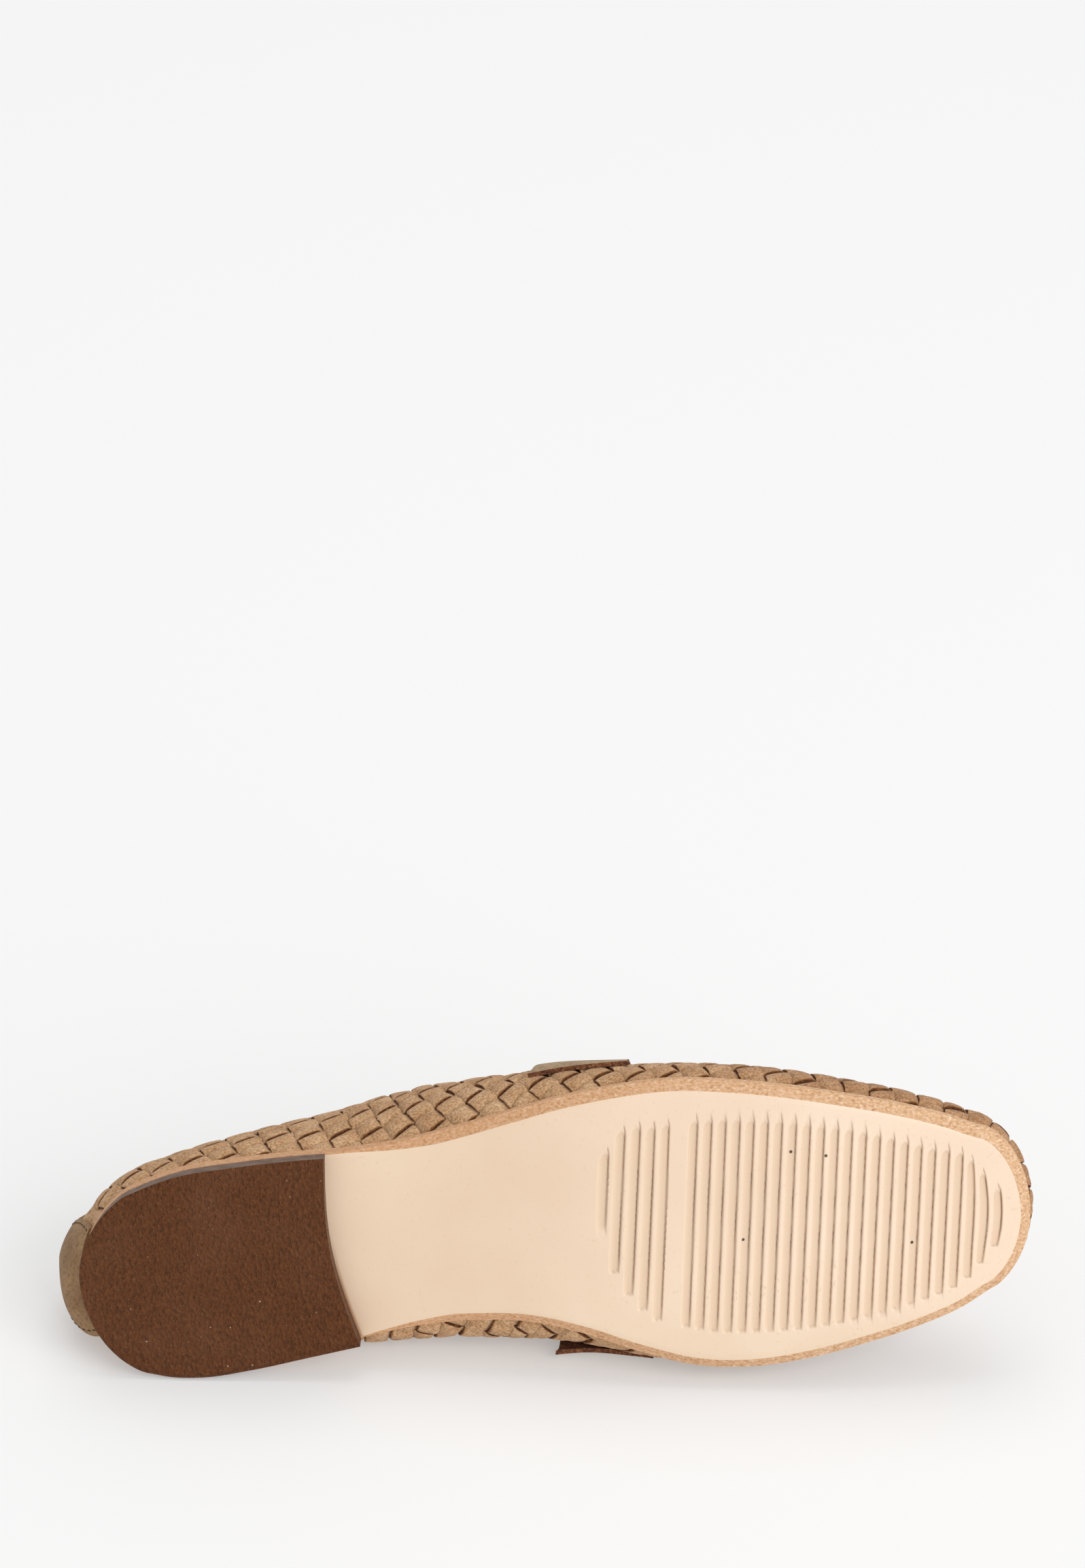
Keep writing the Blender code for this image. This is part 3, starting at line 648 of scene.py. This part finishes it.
SECTIONS = table(
    "along medial_pull lateral_pull medial_rise lateral_rise medial_reach lateral_reach drop",
    (0.00, 14.0, 14.0, 11.0, 11.0, 9.5, 9.5, 18.0),
    (0.05, 22.0, 6.1, 8.0, 14.4, 5.0, 4.4, 17.0),
    (0.11, 1.0, 3.1, 6.0, 15.5, 0.5, 4.2, 16.0),
    (0.20, 0.5, 2.5, 6.0, 14.0, 0.5, 7.7, 15.0),
    (0.30, 12.0, 4.2, 6.0, 10.0, 1.5, 9.2, 15.0),
    (0.40, 22.5, 9.9, 6.0, 12.0, 5.0, 20.9, 14.0),
    (0.46, 27.5, 13.0, 7.0, 14.0, 13.0, 31.2, 6.0),
    (0.50, 23.5, 10.8, 8.0, 14.0, 19.0, 34.0, 1.0),
    (0.60, 14.0, 6.5, 11.0, 15.0, 26.0, 29.0, 0.0),
    (0.70, 10.0, 8.0, 12.0, 12.0, 27.0, 29.0, 0.0),
    (0.80, 8.0, 8.0, 11.0, 11.0, 23.0, 25.0, 0.0),
    (0.90, 7.0, 7.0, 10.0, 10.0, 21.0, 22.0, 0.0),
    (1.00, 5.5, 5.5, 9.0, 9.0, 13.0, 13.0, 0.0),
)
THROAT_X = 112.0
CREST_END = 238.0
THROAT_ALONG = 24 / 52
NEAR_STEP = 0.004
FEATHER_INSET, FEATHER_LIFT = 1.2, 3.8
FEATHER = both_sides(inset(edge_loop, FEATHER_INSET))
COLLAR_LINE = {side: side_line(COLLAR, side) for side in SIGN}


def top_edge(side, along):
    """Where a section ends: on the collar behind the throat, on the crest in front of it."""
    collar = read_line(COLLAR_LINE[side], np.clip(along / THROAT_ALONG, 0.0, 1.0))
    crest_share = np.clip((along - THROAT_ALONG) / (1 - THROAT_ALONG), 0.0, 1.0)
    crest_x = THROAT_X + (CREST_END - THROAT_X) * crest_share
    x = np.where(along < THROAT_ALONG, collar[:, 0], crest_x)
    y = np.where(along < THROAT_ALONG, collar[:, 1] + smooth(COLLAR, "sway", x), 0.0)
    collar_height = smooth(COLLAR, "height", x)
    height = np.where(along < THROAT_ALONG, collar_height, smooth(CREST, "height", x))
    return np.column_stack((x, y, height))


def last_surface(side, along, up):
    """Points on the outside of the last, by the share along a side and up from sole to edge."""
    along, up = np.broadcast_arrays(np.atleast_1d(along).astype(float), np.atleast_1d(up))
    foot = read_line(FEATHER[side], along)
    foot = np.column_stack((foot, tread_height(foot[:, 0]) + FEATHER_LIFT))
    edge = top_edge(side, along)
    near = read_line(FEATHER[side], np.maximum(along - NEAR_STEP, 0.0))
    far = read_line(FEATHER[side], np.minimum(along + NEAR_STEP, 1.0))
    tangent = far - near
    outward = SIGN[side] * np.column_stack((-tangent[:, 1], tangent[:, 0]))
    outward /= np.linalg.norm(outward, axis=1)[:, None]
    outward[along <= 0.0] = (-1.0, 0.0)
    outward[along >= 1.0] = (1.0, 0.0)
    toward = foot[:, :2] - edge[:, :2]
    spread = np.linalg.norm(toward, axis=1)[:, None]
    least = 2.2
    toward = np.where(spread > least, toward / np.maximum(spread, least), outward)
    leaving = foot.copy()
    leaving[:, :2] += outward * smooth(SECTIONS, side + "_pull", along)[:, None]
    leaving[:, 2] += smooth(SECTIONS, side + "_rise", along)
    arriving = edge.copy()
    turn_start = 0.30
    turn = np.clip((along - turn_start) / (THROAT_ALONG - turn_start), 0.0, 1.0)[:, None]
    heading = outward * (1 - turn) + toward * turn
    heading /= np.linalg.norm(heading, axis=1)[:, None]
    arriving[:, :2] += heading * smooth(SECTIONS, side + "_reach", along)[:, None]
    fall = smooth(CREST, "height", arriving[:, 0]) - smooth(CREST, "height", edge[:, 0])
    arriving[:, 2] += np.where(along < THROAT_ALONG, 0.0, fall)
    arriving[:, 2] -= smooth(SECTIONS, "drop", along)
    t = up[:, None]
    rising = (1 - t) ** 3 * foot + 3 * (1 - t) ** 2 * t * leaving
    return rising + 3 * (1 - t) * t**2 * arriving + t**3 * edge


ALONG_STEPS, UP_STEPS = 260, 48
THROAT_STEP = 120


def last_grid(side):
    """The last's points and outward normals on a fine grid of one side."""
    along, up = np.meshgrid(
        np.linspace(0.0, 1.0, ALONG_STEPS + 1), np.linspace(0.0, 1.0, UP_STEPS + 1), indexing="ij"
    )
    points = last_surface(side, along.ravel(), up.ravel()).reshape(*along.shape, 3)
    normals = np.cross(np.gradient(points, axis=1), np.gradient(points, axis=0)) * SIGN[side]
    return points, normals / np.maximum(np.linalg.norm(normals, axis=2), 1e-9)[..., None]


def flat_pattern(side, points):
    """The same grid laid flat as the weaver sees it: the vamp opened out from its crest, and the
    quarters turned on from the throat along the sole's edge."""
    rise = np.linalg.norm(np.diff(points, axis=1), axis=2)
    height = np.concatenate((np.zeros((len(points), 1)), np.cumsum(rise, axis=1)), axis=1)
    crest = np.linalg.norm(np.diff(points[THROAT_STEP:, -1], axis=0), axis=1)
    crest_x = THROAT_X + np.concatenate(([0.0], np.cumsum(crest)))
    heading = points[THROAT_STEP:, 0, :2] - points[THROAT_STEP:, -1, :2]
    heading /= np.linalg.norm(heading, axis=1)[:, None]
    flat_points = np.zeros((*points.shape[:2], 2))
    below = height[THROAT_STEP:, -1:] - height[THROAT_STEP:]
    flat_points[THROAT_STEP:] = below[..., None] * heading[:, None]
    flat_points[THROAT_STEP:, :, 0] += crest_x[:, None]
    outward = heading[0]
    onward = np.array((abs(outward[1]), -outward[0] * SIGN[side]))
    edge = np.linalg.norm(np.diff(points[: THROAT_STEP + 1, 0], axis=0), axis=1)
    behind = np.concatenate((np.cumsum(edge[::-1])[::-1], [0.0]))[:-1]
    foot = flat_points[THROAT_STEP, 0] - behind[:, None] * onward
    flat_points[:THROAT_STEP] = foot[:, None] - height[:THROAT_STEP, :, None] * outward
    return flat_points


grids = {side: last_grid(side) for side in SIGN}
for step, where in ((slice(THROAT_STEP, None), -1), (0, slice(None)), (-1, slice(None))):
    shared = grids["medial"][1][step, where] + grids["lateral"][1][step, where]
    shared /= np.maximum(np.linalg.norm(shared, axis=-1), 1e-9)[..., None]
    for side in SIGN:
        grids[side][1][step, where] = shared
patterns = {side: flat_pattern(side, grids[side][0]) for side in SIGN}


def between(grid, place):
    """A grid's values read between its points, and how they change along both ways."""
    low = np.minimum(place.astype(int), np.array(grid.shape[:2]) - 2)
    a, b = (place - low).T[..., None]
    i, j = low.T
    corner = grid[i, j], grid[i + 1, j], grid[i, j + 1], grid[i + 1, j + 1]
    near, far = (1 - b) * corner[0] + b * corner[2], (1 - b) * corner[1] + b * corner[3]
    value = (1 - a) * near + a * far
    first = (1 - b) * (corner[1] - corner[0]) + b * (corner[3] - corner[2])
    second = (1 - a) * (corner[2] - corner[0]) + a * (corner[3] - corner[1])
    return value, first, second


def locate(pattern, wanted):
    """Where points of the flat pattern lie on its grid, and whether they lie on it at all."""
    row_step, column_step = 5, 6
    most_move, near_enough = 6.0, 0.05
    coarse = pattern[::row_step, ::column_step].reshape(-1, 2)
    start = []
    for part in np.array_split(wanted, 80):
        start.append(((coarse - part[:, None]) ** 2).sum(axis=2).argmin(axis=1))
    row, column = np.divmod(np.concatenate(start), UP_STEPS // column_step + 1)
    place = np.column_stack((row * row_step, column * column_step)).astype(float)
    limit = np.array((ALONG_STEPS, UP_STEPS), float)
    for _ in range(14):
        here, first, second = between(pattern, place)
        miss = wanted - here
        area = first[:, 0] * second[:, 1] - first[:, 1] * second[:, 0]
        area = np.where(np.abs(area) < 1e-6, 1e-6, area)
        move = np.column_stack(
            (
                (miss[:, 0] * second[:, 1] - miss[:, 1] * second[:, 0]) / area,
                (first[:, 0] * miss[:, 1] - first[:, 1] * miss[:, 0]) / area,
            )
        )
        place = np.clip(place + np.clip(move, -most_move, most_move), 0.0, limit)
    here = between(pattern, place)[0]
    return place, np.linalg.norm(wanted - here, axis=1) < near_enough


# Strips of both directions, the rising ones first: angle, spacing, gap and strength of the painted
# shade along the edge. Under the back strip, up to a share of each side, they lie flat.
STRIP_ANGLES = (radians(46.0), radians(-49.0))
PITCHES = np.array((6.5, 7.3))
STRIP_GAPS = (0.35, 0.15)
EDGE_SHADE = (1.0, 0.88)
STRIP_LIFT = 0.8
ACROSS = np.array((-0.5, -0.42, -0.26, 0.0, 0.26, 0.42, 0.5))
CROWN = np.array((-0.15, -0.04, 0.02, 0.05, 0.02, -0.04, -0.15))
THICK_OVER, THICK_UNDER = 1.2, 0.8
FLAT_SHARE = {"medial": 0.064, "lateral": 0.042}
FLAT_FADE = 0.015
CELL_STEPS = 6
lattice = np.array([(-np.sin(a), np.cos(a)) for a in STRIP_ANGLES]) / PITCHES[:, None]
pattern_points = np.concatenate([patterns[side].reshape(-1, 2) for side in SIGN]) @ lattice.T
first_strip = np.floor(pattern_points.min(axis=0)).astype(int)
last_strip = np.ceil(pattern_points.max(axis=0)).astype(int)


def weave(family):
    """All strips of one direction: points, faces, which faces are cut edges, and strip UVs."""
    other = 1 - family
    numbers = np.arange(first_strip[family], last_strip[family] + 1)
    cells = np.arange(first_strip[other] * CELL_STEPS, last_strip[other] * CELL_STEPS + 1)
    steps = cells / CELL_STEPS
    wobble = np.random.default_rng(20 + family)
    strip_shift = wobble.normal(0.0, 0.03, len(numbers))
    width = 1 - STRIP_GAPS[family] / PITCHES[family]
    number, step, over = np.meshgrid(numbers, steps, ACROSS * width, indexing="ij")
    waver = wobble.normal(0.0, 0.012, (len(numbers), len(steps), 1))
    spot = np.zeros((*number.shape, 2))
    spot[..., family] = number + over + strip_shift[:, None, None] + waver
    spot[..., other] = step
    wanted = spot.reshape(-1, 2) @ np.linalg.inv(lattice).T
    points = np.zeros((len(wanted), 3))
    normals = np.zeros((len(wanted), 3))
    inside = np.zeros(len(wanted), bool)
    actual = np.zeros((len(wanted), 2))
    past_flat = np.zeros(len(wanted))
    for side in SIGN:
        own = (wanted[:, 1] >= 0) if side == "medial" else (wanted[:, 1] < 0)
        place, found = locate(patterns[side], wanted[own])
        points[own] = between(grids[side][0], place)[0]
        normals[own] = between(grids[side][1], place)[0]
        actual[own] = between(patterns[side], place)[0] @ lattice.T
        inside[own] = found
        past_flat[own] = place[:, 0] / ALONG_STEPS - FLAT_SHARE[side]
    sign = 1.0 if family == 0 else -1.0
    wave = sign * np.cos(np.pi * (actual[:, other] + number.ravel()))
    lift = STRIP_LIFT * (2 * ease(-0.45, 0.75, wave) - 1) * ease(0.0, FLAT_FADE, past_flat)
    lift = lift.reshape(number.shape) + CROWN * (1.0 + 0.5 * (wave.reshape(number.shape) > 0))
    top = points.reshape(*number.shape, 3) + normals.reshape(*number.shape, 3) * lift[..., None]
    ends = [0, -1]
    thick = np.where(lift[..., ends] > 0, THICK_OVER, THICK_UNDER)
    under = top[:, :, ends] - normals.reshape(*number.shape, 3)[:, :, ends] * thick[..., None]
    rings = np.concatenate((top, under[:, :, ::-1]), axis=2)
    size = rings.shape[2]
    inside = inside.reshape(number.shape).any(axis=2)
    kept = inside[:, 1:] | inside[:, :-1]
    longest = 6.0
    stretch = np.linalg.norm(np.diff(top[:, :, 3], axis=1), axis=2)
    kept &= stretch < longest
    faces, kinds = [], []
    strip_faces = grid_faces(len(steps), size, closed=True).reshape(len(steps) - 1, size, 4)
    for row in range(len(numbers)):
        chosen = strip_faces[kept[row]] + row * len(steps) * size
        faces.append(chosen.reshape(-1, 4))
        edge = np.zeros(size, int)
        edge[len(ACROSS) - 1 :] = 1
        kinds.append(np.tile(edge, len(chosen)))
    along = step * PITCHES[other] * 0.001
    sole_side = np.where(wanted[:, 1] >= 0, 1.0, -1.0).reshape(number.shape)
    uv = np.stack((along, 2 * over / width * sole_side * EDGE_SHADE[family]), axis=-1)
    uv = np.concatenate((uv, uv[:, :, [-1, 0]]), axis=2)
    return rings.reshape(-1, 3), np.concatenate(faces), np.concatenate(kinds), uv.reshape(-1, 2)


SUEDE = (("Specular IOR Level", 0.1), ("Sheen Weight", 0.08), ("Sheen Roughness", 0.6))

# Napped suede strips: taupe-tan, darker where the nap is brushed away, and dark brown along the
# edge that faces the sole: the brown of the cut edge and painted shadow in the slit beside it.
strip_suede, shader, place = new_material("napped suede strip", 0.95, SUEDE)
uv = add_node(strip_suede, "ShaderNodeUVMap", {}, uv_map="pattern").outputs["UV"]
patch = noise(strip_suede, place, 0.006, 3.0)
nap = noise(strip_suede, place, 0.0006, 2.0)
heel_tone = ramp(strip_suede, patch, (0.28, "#C0976F"), (0.50, "#CDA67E"), (0.72, "#DAB690"))
toe_tone = ramp(strip_suede, patch, (0.28, "#AF8561"), (0.50, "#BC926C"), (0.72, "#C8A17D"))
along = add_node(strip_suede, "ShaderNodeSeparateXYZ", {"Vector": place}).outputs["X"]
colour = blend(strip_suede, level(strip_suede, along, 0.0, 0.09), heel_tone, toe_tone)
shade = ramp(strip_suede, nap, (0.30, "#A99A8D"), (0.50, "#DED6CE"), (0.68, "#FFFFFF"))
colour = blend(strip_suede, 0.85, colour, shade, "MULTIPLY")
beside = add_node(strip_suede, "ShaderNodeSeparateXYZ", {"Vector": uv}).outputs["Y"]
# Painted shadow of the slit beside each strip, with the brown of its cut edge.
colour = blend(strip_suede, level(strip_suede, beside, 0.78, 0.97), colour, linear("#74481F"))
dress(strip_suede, shader, colour, bump(strip_suede, nap, 0.00025, 0.7))

# Cut edges and backs of the strips: dark brown with orange-brown fibres.
strip_edge, shader, place = new_material("cut suede edge", 1.0)
fibre = noise(strip_edge, place, 0.0008, 3.0)
colour = ramp(strip_edge, fibre, (0.32, "#3A2212"), (0.52, "#5E391D"), (0.70, "#8E5C33"))
dress(strip_edge, shader, colour, bump(strip_edge, fibre, 0.0003, 0.8))

woven = [weave(family) for family in (0, 1)]
start = len(woven[0][0])
upper = add_piece(
    "woven_suede_upper",
    np.concatenate((woven[0][0], woven[1][0])),
    np.concatenate((woven[0][1], woven[1][1] + start)),
    (strip_suede, strip_edge),
    np.concatenate((woven[0][2], woven[1][2])),
    np.concatenate((woven[0][3], woven[1][3])),
)
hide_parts("upper")


# Lining. Two halves of thin brown leather behind the weave, from the sole to the collar, glued to
# the strips' backs.
def slab(points, normals, low, high):
    """A grid of points made into a closed sheet between two distances from it."""
    rows, columns = points.shape[:2]
    outer = (points + normals * high).reshape(-1, 3)
    inner = (points + normals * low).reshape(-1, 3)
    size = rows * columns
    face = grid_faces(rows, columns)
    border = grid_border(rows, columns)
    after = np.roll(border, -1)
    walls = np.stack((border, after, after + size, border + size), axis=1)
    return np.concatenate((outer, inner)), face, walls, face + size


LINING_INSIDE, LINING_OUTSIDE = -2.45, -2.0

# Brown lining leather, matt, with a faint grain.
lining_leather, shader, place = new_material("thin lining leather", 0.7)
patch = noise(lining_leather, place, 0.012, 3.0)
colour = ramp(lining_leather, patch, (0.3, "#8A6746"), (0.7, "#A07C58"))
relief = bump(lining_leather, noise(lining_leather, place, 0.0008), 0.00006)
dress(lining_leather, shader, colour, relief)
halves = []
for side in SIGN:
    points, normals = (grid[::4, ::4] for grid in grids[side])
    halves.append(slab(points, normals, LINING_INSIDE, LINING_OUTSIDE))
half_size = len(halves[0][0])
lining = add_piece(
    "lining",
    np.concatenate([half[0] for half in halves]),
    np.concatenate([np.concatenate(half[1:]) + n * half_size for n, half in enumerate(halves)]),
    (lining_leather,),
)


# Collar edge. A narrow band of plain suede, turned over the ends of the strips and glued down
# inside. At the back it stands out further, over the end of the back strip.
PROUD_AT_BACK = 0.55

# Olive-tan suede with a short brushed nap, mottled a little.
plain_suede, shader, place = new_material("plain brushed suede", 0.95, SUEDE)
nap = noise(plain_suede, place, 0.0009, 3.0)
patch = noise(plain_suede, place, 0.008, 3.0)
colour = ramp(plain_suede, patch, (0.3, "#91704F"), (0.7, "#AB8862"))
shade = ramp(plain_suede, nap, (0.28, "#A8A8A8"), (0.50, "#E8E8E8"), (0.72, "#FFFFFF"))
colour = blend(plain_suede, 0.75, colour, shade, "MULTIPLY")
dress(plain_suede, shader, colour, bump(plain_suede, nap, 0.0002, 0.7))

edge_points, edge_normals = (
    np.concatenate((outer[: THROAT_STEP + 1, -1], inner[THROAT_STEP - 1 : 0 : -1, -1]))
    for outer, inner in zip(grids["lateral"], grids["medial"])
)
running = np.roll(edge_points, -1, axis=0) - np.roll(edge_points, 1, axis=0)
opening = np.cross(edge_normals, running)
opening /= np.linalg.norm(opening, axis=1)[:, None]

# The band's outline, up from the upper's edge and out from its surface.
outside_fold = ((-2.6, 0.91), (-2.6, 1.2), (-1.2, 1.25), (0.2, 1.0), (0.8, 0.3))
inside_fold = ((0.8, -0.8), (0.3, -1.9), (-2.0, -2.5), (-6.0, -2.6), (-6.0, -2.0), (-1.0, -1.2))
band = outside_fold + inside_fold
back = np.minimum(np.arange(len(edge_points)), len(edge_points) - np.arange(len(edge_points)))
proud = 1 + PROUD_AT_BACK * (1 - ease(12.0, 22.0, back))[:, None]
rings = []
for up, out in band:
    away = out * proud if out > 0.9 else out
    rings.append(edge_points + opening * up + edge_normals * away)
rings = np.stack(rings, axis=1)
rings = np.concatenate((rings, rings[:1]))
collar = add_piece(
    "collar_band",
    rings.reshape(-1, 3),
    grid_faces(len(rings), len(band), closed=True),
    (plain_suede,),
)


# Back strip. Plain suede up the back of the heel, laid over the ends of the weave and stitched
# down along both of its edges. It narrows upwards and is wider on the inner side.
STRIP_INSIDE, STRIP_OUTSIDE = 0.35, 1.3
HALF_WIDTH = {"lateral": 2.2 / 52, "medial": 3.3 / 52}
NARROWING = {"lateral": 1.0 / 52, "medial": 1.6 / 52}
rise = np.linspace(0.03, 0.985, 40)
upward = ease(0.05, 0.55, rise)
columns = []
for share in np.linspace(-1.0, 1.0, 37):
    side = "lateral" if share < 0 else "medial"
    half = HALF_WIDTH[side] - NARROWING[side] * upward
    columns.append(last_surface(side, abs(share) * half, rise))
patch = np.stack(columns, axis=1)
patch_normals = np.cross(np.gradient(patch, axis=1), np.gradient(patch, axis=0))
patch_normals /= np.linalg.norm(patch_normals, axis=2)[..., None]
patch_normals *= -np.sign(patch_normals[20, 18, 0])
points, outer_faces, wall_faces, inner_faces = slab(patch, patch_normals, STRIP_INSIDE, STRIP_OUTSIDE)
backstay = add_piece(
    "back_strip",
    points,
    np.concatenate((outer_faces, wall_faces, inner_faces)),
    (plain_suede,),
)
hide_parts("backstay")


# Stitches. Dark brown thread in two short-stitched rows that hold the back strip down, each stitch
# pulled into the nap with its ends sunk.
STITCH_START, STITCH_PITCH = 1.2, 1.9
HALF_LENGTH, HALF_THREAD, HALF_HEIGHT = 0.5, 0.17, 0.16

# Waxed thread, dark brown and plain.
thread, shader, place = new_material("dark waxed thread", 0.8)
shader.inputs["Base Color"].default_value = linear("#4A3220")
box = np.array([(a, b, c) for a in (-1, 1) for b in (-1, 1) for c in (-1, 1)], float)
box_faces = np.array(
    ((0, 1, 3, 2), (4, 6, 7, 5), (0, 4, 5, 1), (2, 3, 7, 6), (0, 2, 6, 4), (1, 5, 7, 3))
)
seam_points, seam_faces = [], []
for column in (2, 34):
    line, facing = patch[:, column], patch_normals[:, column]
    lengths = np.linalg.norm(np.diff(line, axis=0), axis=1)
    travelled = np.concatenate(([0.0], np.cumsum(lengths)))
    for middle in np.arange(STITCH_START, travelled[-1] - 1.0, STITCH_PITCH):
        centre, before, after = (
            np.array([np.interp(at, travelled, axis) for axis in line.T])
            for at in (middle, middle - 0.4, middle + 0.4)
        )
        out = np.array([np.interp(middle, travelled, axis) for axis in facing.T])
        onward = (after - before) / np.linalg.norm(after - before)
        aside = np.cross(out, onward)
        turned = box @ np.stack((HALF_LENGTH * onward, HALF_THREAD * aside, HALF_HEIGHT * out))
        seam_faces.append(box_faces + len(box) * len(seam_points))
        seam_points.append(centre + STRIP_OUTSIDE * out + turned)
stitches = add_piece(
    "back_strip_stitches",
    np.concatenate(seam_points),
    np.concatenate(seam_faces),
    (thread,),
)


# Saddle strap. A strip of paler suede over 1 mm thick laid over the instep, with flared free
# ends cut raw, which shows its red-brown core. The inner end curls off the weave at its back corner.
STRAP_LINE = table(
    "up medial lateral",
    (0.20, 0.545, 0.532),
    (0.60, 0.557, 0.550),
    (0.90, 0.566, 0.565),
    (1.00, 0.566, 0.566),
)

# Pale beige suede with a short brushed nap.
strap_suede, shader, place = new_material("pale strap suede", 0.95, SUEDE)
nap = noise(strap_suede, place, 0.0009, 3.0)
patch = noise(strap_suede, place, 0.008, 3.0)
colour = ramp(strap_suede, patch, (0.3, "#A48766"), (0.7, "#BEA17E"))
shade = ramp(strap_suede, nap, (0.28, "#A8A8A8"), (0.50, "#E8E8E8"), (0.72, "#FFFFFF"))
colour = blend(strap_suede, 0.75, colour, shade, "MULTIPLY")
dress(strap_suede, shader, colour, bump(strap_suede, nap, 0.0002, 0.7))

# Raw core of the strap at its cut edges and back: red-brown fibres, quite matt.
strap_core, shader, place = new_material("raw strap edge", 1.0)
fibre = noise(strap_core, place, 0.0008, 3.0)
colour = ramp(strap_core, fibre, (0.30, "#3E2013"), (0.52, "#6A3E24"), (0.72, "#8F6140"))
dress(strap_core, shader, colour, bump(strap_core, fibre, 0.0003, 0.8))

END_WIDTH, TOP_WIDTH = 27.0, 24.0
STRAP_INSIDE, STRAP_OUTSIDE = 0.9, 2.1
CURL = 3.0
strap_end = 0.20
side_length = np.linalg.norm(np.diff(FEATHER["lateral"], axis=0), axis=1).sum()
ups = np.linspace(strap_end, 1.0, 61)
across = np.linspace(-0.5, 0.5, 15)
rows = []
for side, up in [("lateral", up) for up in ups] + [("medial", up) for up in ups[-2::-1]]:
    share = (up - strap_end) / (1 - strap_end)
    narrow = share**0.5 * (2 - share**0.5)
    width = END_WIDTH + (TOP_WIDTH - END_WIDTH) * narrow + 0.15 * np.sin(up * 47)
    rows.append(last_surface(side, smooth(STRAP_LINE, side, up) + across * width / side_length, up))
patch = np.stack(rows)
patch_normals = np.cross(np.gradient(patch, axis=1), np.gradient(patch, axis=0))
patch_normals /= np.linalg.norm(patch_normals, axis=2)[..., None]
patch_normals *= np.sign(patch_normals[60, 7, 2])
curl_start, curl_end = 96.0, len(patch) - 1.0
curl = ease(curl_start, curl_end, np.arange(len(patch)))[:, None] * (0.5 - across[None, :]) ** 2
patch = patch + patch_normals * (CURL * curl)[..., None]
points, outer_faces, wall_faces, inner_faces = slab(patch, patch_normals, STRAP_INSIDE, STRAP_OUTSIDE)
strap = add_piece(
    "suede_saddle_strap",
    points,
    np.concatenate((outer_faces, wall_faces, inner_faces)),
    (strap_suede, strap_core),
    np.concatenate((np.zeros(len(outer_faces)), np.ones(len(wall_faces) + len(inner_faces)))),
)
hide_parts("saddle_strap")


# Studio. A plain pale floor under one big soft light above, a second from the toe's side and an
# even white surround. The floor has a faint painted glow of its own, which keeps shadows short.
white = (1.0, 1.0, 1.0, 1.0)
# Painted glow: the floor gives off a little light of its own, which lightens its shadows.
glow = (("Specular IOR Level", 0.0), ("Emission Color", white), ("Emission Strength", 0.29))
floor_paint, shader, place = new_material("white floor with painted glow", 0.9, glow)
shader.inputs["Base Color"].default_value = linear("#CCCCCC")
bpy.ops.mesh.primitive_plane_add(size=30.0)
floor = bpy.context.object
floor.name = "studio_floor"
floor.data.materials.append(floor_paint)

world = bpy.data.worlds.new("soft_surround")
world.use_nodes = True
world.node_tree.nodes["Background"].inputs["Color"].default_value = white
world.node_tree.nodes["Background"].inputs["Strength"].default_value = 0.66
bpy.context.scene.world = world


def soft_light(name, location, turn, size, watts):
    """One square softbox."""
    bpy.ops.object.light_add(type="AREA", location=location, rotation=turn)
    light = bpy.context.object
    light.name = name
    light.data.size = size
    light.data.energy = watts


soft_light("overhead_softbox", (0.0, 0.9, 3.2), (radians(-14), 0.0, 0.0), 2.2, 26.0)
soft_light("toe_side_softbox", (2.6, -3.2, 2.2), (radians(62), 0.0, radians(39)), 3.4, 124.0)
